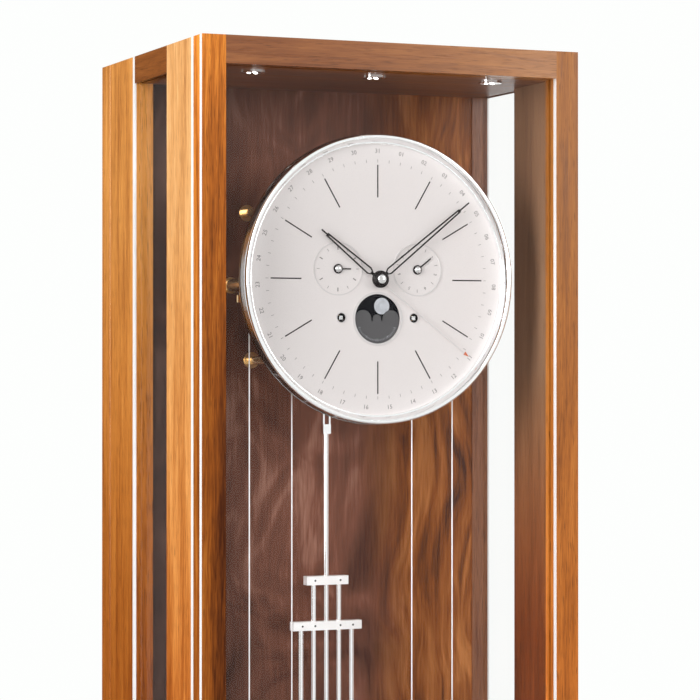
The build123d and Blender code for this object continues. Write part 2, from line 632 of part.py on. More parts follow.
# ---------------------------------------------------------------- movement
def mounting_bracket():
    """Steel bracket: front plate with arms, two wings and feet on the back panel, a roof that
    carries the pendulum's two ears, the bell's stud and the hammer's pin."""
    rear = BRACKET_FRONT + BRACKET_THICKNESS
    plate_y = (back(BRACKET_FRONT), back(rear))
    wing = (BRACKET_WING_X - BRACKET_THICKNESS, BRACKET_WING_X)
    with BuildPart() as bracket:
        prism((-BRACKET_HALF, BRACKET_HALF), plate_y, (DIAL_Z + BRACKET_LOW, DIAL_Z + ROOF_HIGH))
        prism((-10, 10), plate_y, (DIAL_Z + ROOF_HIGH, DIAL_Z + HAMMER_Z + 8))
        for x, z, _ in DIAL_PILLARS:
            prism((-x - 2, x + 2), plate_y, (DIAL_Z + z - 5, DIAL_Z + z + 5))
        for sign in (-1, 1):
            limits = sorted((sign * wing[0], sign * wing[1]))
            prism(limits, (back(rear), back(BACK_PANEL_FRONT)), (DIAL_Z - 90, DIAL_Z + ROOF_HIGH))
            foot = sorted((sign * wing[1], sign * (wing[1] + FOOT_WIDTH)))
            prism(foot, (back(BACK_PANEL_FRONT - BRACKET_THICKNESS), back(BACK_PANEL_FRONT)),
                  (DIAL_Z - FOOT_HALF_HEIGHT, DIAL_Z + FOOT_HALF_HEIGHT))
            prism((sign * HOOK_X - 4, sign * HOOK_X + 4), (back(CABLE_DEPTH - 4), back(BRACKET_FRONT)),
                  (DIAL_Z + HOOK_Z, DIAL_Z + HOOK_Z + 8))
            for z in (-80, 84):
                barrel(REAR_PLATE_FRONT + PLATE_THICKNESS, BRACKET_FRONT, 5, sign * 50, z)
        prism((-wing[1], BELL_X + 14), (back(rear), back(BACK_PANEL_FRONT)),
              (DIAL_Z + ROOF_LOW, DIAL_Z + ROOF_HIGH))
        for near in (PENDULUM_DEPTH - 13, PENDULUM_DEPTH + 9):
            prism((-8, 8), (back(near), back(near + 4)), (DIAL_Z + SUSPENSION_Z - 8, DIAL_Z + ROOF_LOW))
        barrel(PENDULUM_DEPTH - 14, PENDULUM_DEPTH + 14, SMALL_ARBOR + RUN, 0, SUSPENSION_Z,
               mode=Mode.SUBTRACT)
        barrel(BRACKET_FRONT, rear, 6, 0, SUSPENSION_Z, mode=Mode.SUBTRACT)
        upright(DIAL_Z + ROOF_HIGH, DIAL_Z + BELL_HIGH - 2, 3, BELL_X, back(BELL_DEPTH))
        barrel(rear, BELL_DEPTH + 12, 2, HAMMER_X, HAMMER_Z)
    save(bracket, "mounting_bracket")


def dial_pillars():
    """Six brass standoffs between the dial and the bracket, flanged at the rear."""
    with BuildPart() as pillars:
        for sign in (-1, 1):
            for x, z, radius in DIAL_PILLARS:
                barrel(DIAL_BACK, BRACKET_FRONT, radius, sign * x, z)
                barrel(BRACKET_FRONT - 4, BRACKET_FRONT, 9, sign * x, z)
            x, z, radius = DIAL_PILLARS[1]
            under = DIAL_Z + z - radius
            upright(under - 1, under + 3, 2, sign * x, back(THUMB_DEPTH), mode=Mode.SUBTRACT)
    save(pillars, "dial_pillars")
    with BuildPart() as screws:
        for sign in (-1, 1):
            upright(under - 4, under + 3, 2, sign * x, back(THUMB_DEPTH))
            upright(under - 12, under - 4, 4.8, sign * x, back(THUMB_DEPTH))
    save(screws, "thumb_screws")


def movement_plates():
    """Front and rear plate, bored for every arbor."""
    middle = (PLATE_LOW + PLATE_HIGH) / 2
    with BuildPart() as plates:
        for depth in (PLATE_FRONT, REAR_PLATE_FRONT):
            with BuildSketch(facing(depth + PLATE_THICKNESS, 0, middle)):
                RectangleRounded(2 * PLATE_HALF_WIDTH, PLATE_HIGH - PLATE_LOW, 10)
                for x, z in ARBORS:
                    with Locations((x, z - middle)):
                        Circle(PIVOT_RADIUS + RUN, mode=Mode.SUBTRACT)
                if depth == PLATE_FRONT:
                    with Locations((0, MOON_Z - middle)):
                        Circle(SMALL_ARBOR + RUN, mode=Mode.SUBTRACT)
            extrude(amount=PLATE_THICKNESS)
    save(plates, "movement_plates")
    with BuildPart() as pillars:
        for x in (-84, 84):
            for z in (PLATE_LOW + 8, PLATE_HIGH - 8):
                barrel(PLATE_FRONT + PLATE_THICKNESS, REAR_PLATE_FRONT, PILLAR_RADIUS, x, z)
    save(pillars, "movement_pillars")


def drums():
    """Cable drum on its winding arbor; the square end shows in the dial's hole."""
    for label, x in (("strike_drum", -WINDING_X), ("time_drum", WINDING_X)):
        with BuildPart() as drum:
            barrel(DRUM_FRONT, DRUM_BACK, DRUM_RADIUS, x, WINDING_Z)
            for near in (DRUM_FRONT - DRUM_FLANGE, DRUM_BACK):
                barrel(near, near + DRUM_FLANGE, DRUM_RADIUS + 2.6, x, WINDING_Z)
            barrel(PLATE_FRONT + 3.3, REAR_PLATE_FRONT - 0.3, DRUM_ARBOR, x, WINDING_Z)
            barrel(WINDING_START, REAR_PLATE_FRONT + PIVOT_REACH, PIVOT_RADIUS, x, WINDING_Z)
            with BuildSketch(facing(WINDING_START, x, WINDING_Z)):
                Rectangle(WINDING_SQUARE, WINDING_SQUARE)
            extrude(amount=7)
        save(drum, label)


def arbor(x, z, radius):
    """Inside a part: an arbor from plate to plate, with a full-size pivot in each."""
    near, far = PLATE_FRONT + PIVOT_INSET, REAR_PLATE_FRONT + PIVOT_REACH
    barrel(near, far, radius, x, z)
    barrel(near, PLATE_FRONT + PLATE_THICKNESS, PIVOT_RADIUS, x, z)
    barrel(REAR_PLATE_FRONT, far, PIVOT_RADIUS, x, z)


def wheel(label, place, plane_depths, teeth, module, phase, pinion=None, bore=None):
    """A spoked wheel; with a pinion it is one piece with its arbor, with a bore it is loose.

    pinion is (leaves, module, phase, the plane of the wheel that it meshes with)."""
    x, z = place
    near, far = plane_depths
    radius = module * teeth / 2
    with BuildPart() as piece:
        with BuildSketch(facing(far, x, z)):
            toothed(teeth, module, phase)
            windows(5, radius * 0.42, radius * 0.84, 9)
        extrude(amount=far - near)
        if pinion:
            leaves, leaf_module, leaf_phase, meshed = pinion
            with BuildSketch(facing(meshed[1] + PINION_MARGIN, x, z)):
                toothed(leaves, leaf_module, leaf_phase)
            extrude(amount=meshed[1] - meshed[0] + 2 * PINION_MARGIN)
            arbor(x, z, min(PIVOT_RADIUS, leaf_module * 2.2))
        if bore:
            barrel(near, far, bore, x, z, mode=Mode.SUBTRACT)
    save(piece, label)


def going_train():
    centre, third, escape = ARBORS[0], ARBORS[1], ARBORS[2]
    great = (WINDING_X, WINDING_Z)
    first, second, last = bearing(great, centre), bearing(centre, third), bearing(third, escape)
    wheel("great_wheel", great, GREAT_PLANE, GREAT_TEETH, GREAT_MODULE, first, bore=DRUM_ARBOR + RUN)
    wheel("centre_wheel", centre, CENTRE_PLANE, CENTRE_TEETH, CENTRE_MODULE, second,
          pinion=(CENTRE_PINION, GREAT_MODULE, first + 180 + 180 / CENTRE_PINION, GREAT_PLANE))
    wheel("third_wheel", third, THIRD_PLANE, THIRD_TEETH, THIRD_MODULE, last,
          pinion=(THIRD_PINION, CENTRE_MODULE, second + 180 + 180 / THIRD_PINION, CENTRE_PLANE))
    with BuildPart() as scape:
        root = 14.6
        points = []
        for tooth in range(ESCAPE_TEETH):
            for share, radius in ((0, root), (0.36, ESCAPE_RADIUS), (0.46, ESCAPE_RADIUS), (0.52, root)):
                angle = (tooth + share) * 2 * pi / ESCAPE_TEETH
                points.append((radius * cos(angle), radius * sin(angle)))
        with BuildSketch(facing(ESCAPE_PLANE[1], *escape)):
            with BuildLine():
                Polyline(*points, close=True)
            make_face()
            windows(5, 5, 11.5, 11)
        extrude(amount=ESCAPE_PLANE[1] - ESCAPE_PLANE[0])
        with BuildSketch(facing(THIRD_PLANE[1] + PINION_MARGIN, *escape)):
            toothed(ESCAPE_PINION, THIRD_MODULE, last + 180 + 180 / ESCAPE_PINION)
        extrude(amount=THIRD_PLANE[1] - THIRD_PLANE[0] + 2 * PINION_MARGIN)
        arbor(*escape, radius=1.6)
    save(scape, "escape_wheel")


def anchor():
    """Pallets over the escape wheel; the crutch reaches down to a pin between the fork's prongs."""
    side = ((0, 3.4), (-17.5, -3.0), (-18.6, -9.6), (-14.6, -11.2), (-13.6, -7.4), (-4, -3.2))
    other = [(-x, z) for x, z in reversed(side[1:])]
    with BuildPart() as escapement:
        with BuildSketch(facing(126.2, 0, SUSPENSION_Z)):
            with BuildLine():
                Polyline(*side, *other, close=True)
            make_face()
        extrude(amount=3)
        barrel(PLATE_FRONT + PIVOT_INSET, CRUTCH_DEPTH + 3, PIVOT_RADIUS, 0, SUSPENSION_Z)
        with BuildSketch(facing(CRUTCH_DEPTH + 3, 0, SUSPENSION_Z)):
            with Locations((0, -31)):
                Rectangle(6, 70)
            Circle(5)
        extrude(amount=3)
        barrel(CRUTCH_DEPTH, PENDULUM_DEPTH + 3, 1.8, 0, SUSPENSION_Z - CRUTCH_DROP)
    save(escapement, "anchor")


def bell_and_hammer():
    with BuildPart() as bell:
        with BuildSketch(Plane(origin=(BELL_X, back(BELL_DEPTH), DIAL_Z), x_dir=(1, 0, 0),
                               z_dir=(0, -1, 0))):
            with BuildLine():
                Polyline((0, BELL_HIGH), (20, BELL_HIGH), (27, BELL_HIGH - 5), (29, BELL_LOW + 5),
                         (BELL_RADIUS, BELL_LOW), (BELL_RADIUS - 2.5, BELL_LOW),
                         (26.8, BELL_LOW + 5), (25, BELL_HIGH - 6), (19, BELL_HIGH - 2),
                         (0, BELL_HIGH - 2), close=True)
            make_face()
        revolve(axis=Axis((BELL_X, back(BELL_DEPTH), 0), (0, 0, 1)), revolution_arc=360)
    save(bell, "bell")
    head_x, head_z = BELL_X - BELL_RADIUS - 7.5, BELL_LOW + 3
    length = hypot(head_x - HAMMER_X, head_z - HAMMER_Z)
    lean = bearing((HAMMER_X, HAMMER_Z), (head_x, head_z))
    with BuildPart() as hammer:
        with BuildSketch(facing(BELL_DEPTH + 3, HAMMER_X, HAMMER_Z, -lean)):
            with Locations((length / 2, 0)):
                Rectangle(length, 2.4)
            Circle(5)
        extrude(amount=6)
        with BuildSketch(Plane(origin=(head_x - 6, back(BELL_DEPTH), DIAL_Z + head_z),
                               x_dir=(0, 1, 0), z_dir=(1, 0, 0))):
            Circle(5)
        extrude(amount=12)
        barrel(BELL_DEPTH - 4, BELL_DEPTH + 4, 2 + RUN, HAMMER_X, HAMMER_Z, mode=Mode.SUBTRACT)
    save(hammer, "hammer")


# ---------------------------------------------------------------- pendulum
def rod(low, high, x, radius=ROD_RADIUS, mode=Mode.ADD):
    upright(DIAL_Z + low, DIAL_Z + high, radius, x, back(PENDULUM_DEPTH), mode=mode)


def suspension_spring():
    """Round top pin in the bracket's ears, the thin spring, and the lower pin for the fork."""
    y = back(PENDULUM_DEPTH)
    with BuildPart() as spring:
        barrel(PENDULUM_DEPTH - 13, PENDULUM_DEPTH + 13, SMALL_ARBOR, 0, SUSPENSION_Z)
        prism((-1.5, 1.5), (y - 5, y + 5), (DIAL_Z + SUSPENSION_Z - 6, DIAL_Z + SUSPENSION_Z))
        prism((-0.3, 0.3), (y - 4, y + 4), (DIAL_Z + FORK_TOP + 3, DIAL_Z + SUSPENSION_Z - 6))
        prism((-1.5, 1.5), (y - 5, y + 5), (DIAL_Z + FORK_TOP - 2, DIAL_Z + FORK_TOP + 4))
        prism((-5.2, 5.2), (y - 1.4, y + 1.4), (DIAL_Z + FORK_TOP - 1, DIAL_Z + FORK_TOP + 2))
    save(spring, "suspension_spring")


def pendulum_rods():
    """Fork of two prongs on a block, the long middle rod, and the two outer pairs."""
    y = back(PENDULUM_DEPTH)
    with BuildPart() as rods:
        for sign in (-1, 1):
            limits = sorted(sign * x for x in PRONG_X)
            prism(limits, (y - 2.5, y + 2.5), (DIAL_Z + FORK_FOOT, DIAL_Z + FORK_TOP - 1))
        prism((-PRONG_X[1], PRONG_X[1]), (y - 3.5, y + 3.5), (DIAL_Z + ROD_TOP, DIAL_Z + FORK_FOOT))
        rod(ROD_FOOT, ROD_TOP, 0)
        for sign in (-1, 1):
            rod(LOWER_NARROW, UPPER_NARROW, sign * ROD_PITCH)
            rod(LOWER_WIDE, UPPER_WIDE, sign * 2 * ROD_PITCH)
    save(rods, "pendulum_rods")


def pendulum_crossbars():
    """Four crossbars clamped on the rods; small pins show on their faces."""
    y = back(PENDULUM_DEPTH)
    narrow, wide = ROD_PITCH + 10, 2 * ROD_PITCH + 11
    bars = ((UPPER_NARROW, narrow), (UPPER_WIDE, wide), (LOWER_WIDE, wide), (LOWER_NARROW, narrow))
    with BuildPart() as crossbars:
        for z, half in bars:
            prism((-half, half), (y - BAR_DEPTH / 2, y + BAR_DEPTH / 2),
                  (DIAL_Z + z - BAR_HEIGHT / 2, DIAL_Z + z + BAR_HEIGHT / 2))
            pins = (ROD_PITCH,) if half == narrow else (ROD_PITCH, 2 * ROD_PITCH)
            for x in pins:
                for sign in (-1, 1):
                    face = PENDULUM_DEPTH - BAR_DEPTH / 2
                    barrel(face - 0.6, face, BAR_PIN_RADIUS, sign * x, z)
        rod(ROD_FOOT, ROD_TOP, 0, mode=Mode.SUBTRACT)
        for sign in (-1, 1):
            rod(LOWER_NARROW, UPPER_NARROW, sign * ROD_PITCH, mode=Mode.SUBTRACT)
            rod(LOWER_WIDE, UPPER_WIDE, sign * 2 * ROD_PITCH, mode=Mode.SUBTRACT)
    save(crossbars, "pendulum_crossbars")


def pendulum_bob():
    """Lens-shaped disc bored for the middle rod."""
    half = BOB_THICKNESS / 2
    with BuildPart() as bob:
        with BuildSketch(Plane.XY.offset(DIAL_Z + BOB_Z)):
            y = back(PENDULUM_DEPTH)
            with BuildLine():
                Line((0, y - half), (BOB_RADIUS * 0.3, y - half))
                ThreePointArc((BOB_RADIUS * 0.3, y - half), (BOB_RADIUS * 0.72, y - half * 0.76),
                              (BOB_RADIUS, y - 2))
                Line((BOB_RADIUS, y - 2), (BOB_RADIUS, y + 2))
                ThreePointArc((BOB_RADIUS, y + 2), (BOB_RADIUS * 0.72, y + half * 0.76),
                              (BOB_RADIUS * 0.3, y + half))
                Line((BOB_RADIUS * 0.3, y + half), (0, y + half))
                Line((0, y + half), (0, y - half))
            make_face()
        revolve(axis=Axis((0, 0, DIAL_Z + BOB_Z), (0, 1, 0)), revolution_arc=360)
        rod(BOB_Z - BOB_RADIUS - 1, BOB_Z + BOB_RADIUS + 1, 0, mode=Mode.SUBTRACT)
    save(bob, "pendulum_bob")


def rating_nut():
    low = ROD_FOOT + 6
    with BuildPart() as nut:
        with BuildSketch(Plane((0, back(PENDULUM_DEPTH), DIAL_Z + low))):
            toothed(24, 0.9, 0)
        extrude(amount=NUT_HEIGHT - 4)
        upright(DIAL_Z + low + NUT_HEIGHT - 4, DIAL_Z + low + NUT_HEIGHT, 7, 0, back(PENDULUM_DEPTH))
        rod(low - 1, low + NUT_HEIGHT + 1, 0, ROD_RADIUS + RUN, mode=Mode.SUBTRACT)
    save(nut, "rating_nut")


# ---------------------------------------------------------------- weights
def weight_set(prefix, sign):
    """Weight shell, stirrup, pulley and cable of one train, hanging at its lowest point."""
    x, y = sign * WEIGHT_X, back(CABLE_DEPTH)
    pulley_z = PULLEY_Z - DIAL_Z
    half = PULLEY_WIDTH / 2
    with BuildPart() as weight:
        upright(WEIGHT_TOP - WEIGHT_LENGTH, WEIGHT_TOP, WEIGHT_RADIUS, x, y)
        fillet(weight.edges().filter_by(GeomType.CIRCLE), radius=1.5)
        upright(WEIGHT_TOP, WEIGHT_TOP + 8, 5, x, y)
    save(weight, f"{prefix}_weight")
    strap_front = CABLE_DEPTH - half - STIRRUP_GAP - STRAP
    strap_rear = CABLE_DEPTH + half + STIRRUP_GAP
    with BuildPart() as stirrup:
        for near in (strap_front, strap_rear):
            prism((x - 6, x + 6), (back(near), back(near + STRAP)), (WEIGHT_TOP + 8, PULLEY_Z + 8))
        prism((x - 6, x + 6), (back(strap_front), back(strap_rear + STRAP)),
              (WEIGHT_TOP + 8, WEIGHT_TOP + 8 + STRAP))
        barrel(strap_front - 1.5, strap_rear + STRAP + 1.5, AXLE_RADIUS, x, pulley_z)
    save(stirrup, f"{prefix}_stirrup")
    with BuildPart() as pulley:
        with BuildSketch(Plane.XY.offset(PULLEY_Z)):
            with BuildLine():
                Polyline((x, y - half), (x + PULLEY_RADIUS, y - half), (x + PULLEY_RADIUS, y - half + 1),
                         (x + PULLEY_GROOVE, y - 1.3), (x + PULLEY_GROOVE, y + 1.3),
                         (x + PULLEY_RADIUS, y + half - 1), (x + PULLEY_RADIUS, y + half),
                         (x, y + half), close=True)
            make_face()
        revolve(axis=Axis((x, y, PULLEY_Z), (0, 1, 0)), revolution_arc=360)
        barrel(CABLE_DEPTH - half, CABLE_DEPTH + half, AXLE_RADIUS + RUN, x, pulley_z, mode=Mode.SUBTRACT)
        for hole in range(5):
            angle = radians(72 * hole + 90)
            barrel(CABLE_DEPTH - half, CABLE_DEPTH + half, 4, x + 13.5 * cos(angle),
                   pulley_z + 13.5 * sin(angle), mode=Mode.SUBTRACT)
    save(pulley, f"{prefix}_pulley")
    inner, outer = sign * CABLE_X, sign * HOOK_X
    with BuildPart() as cable:
        with BuildLine() as route:
            Line((inner, y, DIAL_Z + WINDING_Z), (inner, y, PULLEY_Z))
            ThreePointArc((inner, y, PULLEY_Z), (x, y, PULLEY_Z - PULLEY_LEAD), (outer, y, PULLEY_Z))
            Line((outer, y, PULLEY_Z), (outer, y, DIAL_Z + HOOK_Z))
        with BuildSketch(Plane.XY.offset(DIAL_Z + WINDING_Z)):
            with Locations((inner, y)):
                Circle(CABLE_RADIUS)
        sweep(path=route.wire())
    save(cable, f"{prefix}_cable")


def main():
    plinth()
    posts()
    case_inlay_strips()
    bottom_board()
    top_board()
    back_panel()
    rear_cover()
    ceiling_spots()
    side_frames()
    hinges()
    left_stile()
    right_stile()
    door_rails_and_glass()
    door_inlay_strips()
    door_lock_and_key()
    bezel()
    dial_plate()
    dial_rims()
    moon()
    main_hands()
    date_hand()
    small_hand("month_hand", -SUBDIAL_X, angle=90, length=15)
    small_hand("weekday_hand", SUBDIAL_X, angle=52, length=20)
    mounting_bracket()
    dial_pillars()
    movement_plates()
    drums()
    going_train()
    anchor()
    bell_and_hammer()
    suspension_spring()
    pendulum_rods()
    pendulum_crossbars()
    pendulum_bob()
    rating_nut()
    weight_set("strike", -1)
    weight_set("time", 1)


main()
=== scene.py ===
from math import cos, pi, radians, sin

import bmesh
import bpy
from mathutils import Matrix, Vector


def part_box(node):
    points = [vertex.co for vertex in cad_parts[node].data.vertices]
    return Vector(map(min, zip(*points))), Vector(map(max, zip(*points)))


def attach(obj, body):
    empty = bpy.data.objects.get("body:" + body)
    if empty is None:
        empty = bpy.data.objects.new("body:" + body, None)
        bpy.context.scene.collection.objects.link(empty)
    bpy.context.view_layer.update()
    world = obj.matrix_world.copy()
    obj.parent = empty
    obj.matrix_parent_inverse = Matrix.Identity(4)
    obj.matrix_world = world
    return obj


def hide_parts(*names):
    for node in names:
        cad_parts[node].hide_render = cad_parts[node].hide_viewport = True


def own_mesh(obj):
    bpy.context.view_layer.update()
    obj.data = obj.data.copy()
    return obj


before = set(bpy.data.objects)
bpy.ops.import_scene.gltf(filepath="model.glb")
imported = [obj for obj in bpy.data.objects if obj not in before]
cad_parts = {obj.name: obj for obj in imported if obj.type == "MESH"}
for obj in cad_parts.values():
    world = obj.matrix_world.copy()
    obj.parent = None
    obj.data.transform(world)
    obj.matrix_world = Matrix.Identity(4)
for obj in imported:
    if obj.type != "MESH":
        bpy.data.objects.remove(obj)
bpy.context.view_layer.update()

MM = 0.001

# ---------------------------------------------------------------- places, from the frame
BEZEL_LOW, BEZEL_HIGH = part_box("bezel")
CENTRE = (BEZEL_LOW + BEZEL_HIGH) / 2
DIAL_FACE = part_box("dial_plate")[0].y
BEZEL_RADIUS = (BEZEL_HIGH.x - BEZEL_LOW.x) / 2
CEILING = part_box("top_board")[0].z
SMALL_HUB = 8 * MM  # from a small hand's left end to its axis
SUBDIAL_RISE = 11 * MM  # how far those axes stand above the dial's centre
SUBDIALS = {hand: (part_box(f"{hand}_hand")[0].x + SMALL_HUB, SUBDIAL_RISE)
            for hand in ("month", "weekday")}  # the small hands' axes, from the dial's centre


# ---------------------------------------------------------------- node helpers
class Shader:
    """A material under construction: short calls that add and join its nodes."""

    def __init__(self, name):
        self.material = bpy.data.materials.new(name)
        self.material.use_nodes = True
        self.tree = self.material.node_tree
        self.surface = self.tree.nodes["Principled BSDF"]
        self.output = self.tree.nodes["Material Output"]
        self.coords = self.tree.nodes.new("ShaderNodeTexCoord").outputs["Object"]

    def add(self, kind, **settings):
        node = self.tree.nodes.new(kind)
        for key, value in settings.items():
            setattr(node, key, value)
        return node

    def plug(self, source, target):
        if isinstance(source, bpy.types.NodeSocket):
            self.tree.links.new(source, target)
        elif isinstance(source, tuple):
            target.default_value = source[:len(target.default_value)]
        else:
            target.default_value = source

    def scaled(self, scale, shift=(0, 0, 0), coords=None):
        node = self.add("ShaderNodeMapping")
        self.plug(coords or self.coords, node.inputs["Vector"])
        node.inputs["Scale"].default_value = scale
        node.inputs["Location"].default_value = shift
        return node.outputs["Vector"]

    def noise(self, coords, scale, detail=2.0, roughness=0.5, distortion=0.0):
        node = self.add("ShaderNodeTexNoise")
        self.plug(coords, node.inputs["Vector"])
        node.inputs["Scale"].default_value = scale
        node.inputs["Detail"].default_value = detail
        node.inputs["Roughness"].default_value = roughness
        node.inputs["Distortion"].default_value = distortion
        return node.outputs["Fac"]

    def math(self, operation, a, b=0.0, c=0.0):
        node = self.add("ShaderNodeMath", operation=operation)
        for value, socket in zip((a, b, c), node.inputs):
            self.plug(value, socket)
        return node.outputs["Value"]

    def spread(self, value, low, high, new_low=0.0, new_high=1.0):
        node = self.add("ShaderNodeMapRange")
        for source, socket in zip((value, low, high, new_low, new_high), node.inputs):
            self.plug(source, socket)
        return node.outputs["Result"]

    def ramp(self, value, stops):
        node = self.add("ShaderNodeValToRGB")
        self.plug(value, node.inputs["Fac"])
        elements = node.color_ramp.elements
        while len(elements) < len(stops):
            elements.new(0.5)
        for element, (position, colour) in zip(elements, stops):
            element.position = position
            element.color = (*colour, 1)
        return node.outputs["Color"]

    def mix(self, factor, a, b):
        node = self.add("ShaderNodeMix", data_type="RGBA")
        self.plug(factor, node.inputs[0])
        self.plug(a, node.inputs[6])
        self.plug(b, node.inputs[7])
        return node.outputs[2]

    def part_of(self, axis, coords=None):
        node = self.add("ShaderNodeSeparateXYZ")
        self.plug(coords or self.coords, node.inputs[0])
        return node.outputs[axis]

    def moved(self, coords, amount, reach):
        """Coordinates pushed by a value: bends whatever is drawn in them."""
        node = self.add("ShaderNodeVectorMath", operation="MULTIPLY_ADD")
        self.plug(amount, node.inputs[0])
        node.inputs[1].default_value = reach
        self.plug(coords, node.inputs[2])
        return node.outputs[0]

    def deepened(self, colour, depth):
        """Above a depth of one the colour gets darker and stronger, below it paler."""
        node = self.add("ShaderNodeGamma")
        self.plug(colour, node.inputs["Color"])
        self.plug(depth, node.inputs["Gamma"])
        return node.outputs["Color"]

    def dimmed(self, colour, factor):
        node = self.add("ShaderNodeVectorMath", operation="SCALE")
        self.plug(colour, node.inputs[0])
        self.plug(factor, node.inputs["Scale"])
        return node.outputs[0]

    def bump(self, height, distance, strength=1.0):
        node = self.add("ShaderNodeBump")
        self.plug(height, node.inputs["Height"])
        node.inputs["Distance"].default_value = distance
        node.inputs["Strength"].default_value = strength
        self.plug(node.outputs["Normal"], self.surface.inputs["Normal"])

    def set(self, **values):
        for key, value in values.items():
            self.plug(value, self.surface.inputs[key.replace("_", " ")])


def rgb(red, green, blue):
    return (red, green, blue, 1)


# ---------------------------------------------------------------- materials
# scales of the noise's coordinates: long along the grain, or across a tool's marks
STRETCH = {"X": (0.045, 1, 1), "Y": (1, 0.045, 1), "Z": (1, 1, 0.045)}
BROAD = {"X": (0.30, 1, 1), "Y": (1, 0.30, 1), "Z": (1, 1, 0.30)}
TOOL_MARKS = {"X": (1, 0.02, 0.02), "Y": (0.02, 1, 0.02), "Z": (0.02, 0.02, 1), None: (1, 1, 1)}


def walnut(name, along, seed, light, middle, dark, painted_light_drift=None, contrast=1.0, gloss=0.30, shine=0.25):
    """Lacquered walnut: broad random colour, streaked grain along one axis, and short dark pores.

    The seventh argument, if given, is (low place, high place, brightness and depth of colour at the
    low one, and at the high one): painted light and shade drifting along the grain, brighter and
    paler where a lamp lights the piece, darker and deeper where it lies in shade."""
    shader = Shader(name)
    shift = (seed * 1.7, seed * 2.3, seed * 0.9)
    bent = shader.noise(shader.scaled(BROAD[along], shift), 2.6, 2.0)
    wavy = shader.moved(shader.coords, bent, (0.05, 0.05, 0.05))
    grain_coords = shader.scaled(STRETCH[along], shift, wavy)
    bands = shader.noise(grain_coords, 38, 2.5, 0.55, 0.3)
    grain = shader.noise(grain_coords, 150, 5.0, 0.66, 0.3)
    fibre = shader.noise(grain_coords, 620, 2.0, 0.6)
    broad = shader.noise(shader.scaled(BROAD[along], shift), 6.0, 2.0)
    pores = shader.noise(shader.scaled(STRETCH[along], shift), 1100, 1.0)
    mixed = shader.math("MULTIPLY", bands, 0.34)
    mixed = shader.math("MULTIPLY_ADD", grain, 0.36, mixed)
    mixed = shader.math("MULTIPLY_ADD", fibre, 0.22, mixed)
    mixed = shader.math("MULTIPLY_ADD", broad, 0.24, mixed)
    half = 0.17 / contrast
    value = shader.spread(mixed, 0.58 - half, 0.58 + half)
    colour = shader.ramp(value, ((0.0, dark), (0.46, middle), (1.0, light)))
    pore = shader.spread(pores, 0.60, 0.70)
    colour = shader.mix(shader.math("MULTIPLY", pore, 0.55), colour, rgb(*[c * 0.4 for c in dark]))
    # painted light and shade: brightness and depth of colour drift along the piece as the lamps
    # light it
    if painted_light_drift:
        low, high, low_value, low_depth, high_value, high_depth = painted_light_drift
        depth = shader.spread(shader.part_of(along), low, high, low_depth, high_depth)
        value = shader.spread(shader.part_of(along), low, high, low_value, high_value)
        colour = shader.dimmed(shader.deepened(colour, depth), value)
    shader.set(Base_Color=colour, Specular_IOR_Level=shine, Coat_Weight=0.12, Coat_Roughness=0.2)
    shader.set(Roughness=shader.spread(grain, 0.3, 0.7, gloss, gloss + 0.16))
    shader.bump(shader.math("SUBTRACT", shader.math("MULTIPLY", grain, 0.35), pore), 0.00008, 0.5)
    return shader.material


def figured_walnut(name, light, middle, dark, flame):
    """Wide veneer: fine upright grain with soft curls, slanted orange flames on the right, and
    painted shade that darkens its left part.
    """
    shader = Shader(name)
    warp = shader.noise(shader.scaled((1, 1, 0.7)), 6.0, 2.0)
    bent = shader.moved(shader.coords, warp, (0.12, 0.05, 0.30))
    curl = shader.noise(shader.scaled((1, 1, 0.8), (0.3, 0, 0), bent), 17, 2.0, 0.5, 0.9)
    lines = shader.noise(shader.scaled((1, 1, 0.06), (0.3, 0, 0), bent), 90, 4.0, 0.65)
    fibre = shader.noise(shader.scaled((1, 1, 0.05)), 520, 3.0, 0.65)
    clouds = shader.noise(shader.scaled((1, 1, 0.6), (3.1, 0, 0.4)), 4.6, 2.0, 0.5, 0.4)
    total = shader.math("MULTIPLY", clouds, 0.48)
    total = shader.math("MULTIPLY_ADD", curl, 0.34, total)
    total = shader.math("MULTIPLY_ADD", lines, 0.20, total)
    total = shader.math("MULTIPLY_ADD", fibre, 0.18, total)
    value = shader.spread(total, 0.45, 0.78)
    colour = shader.ramp(value, ((0.0, dark), (0.5, middle), (1.0, light)))
    slanted = shader.add("ShaderNodeMapping")
    shader.plug(bent, slanted.inputs["Vector"])
    slanted.inputs["Rotation"].default_value = (0, radians(12), 0)
    slanted.inputs["Scale"].default_value = (1, 1, 0.10)
    flames = shader.noise(slanted.outputs[0], 44, 4.0, 0.62, 0.3)
    flames = shader.spread(shader.math("MULTIPLY_ADD", fibre, 0.3, flames), 0.48, 0.82)
    orange = shader.ramp(flames, ((0.0, dark), (0.5, flame), (1.0, FLAME_LIGHT)))
    reach = shader.math("MULTIPLY_ADD", clouds, 0.10, shader.part_of("X"))
    colour = shader.mix(shader.spread(reach, 0.10, 0.16), colour, orange)
    # painted shade: the panel darkens towards its left, where the left front post and door stile
    # shade it, and painted light brightens it past the middle
    edge = shader.math("MULTIPLY_ADD", clouds, 0.08, shader.part_of("X"))
    colour = shader.dimmed(colour, shader.spread(edge, -0.10, 0.05, 0.24, 1.25))
    shader.set(Base_Color=colour, Specular_IOR_Level=0.12, Coat_Weight=0.05, Coat_Roughness=0.25)
    shader.set(Roughness=shader.spread(lines, 0.3, 0.7, 0.34, 0.46))
    shader.bump(fibre, 0.00002, 0.3)
    return shader.material


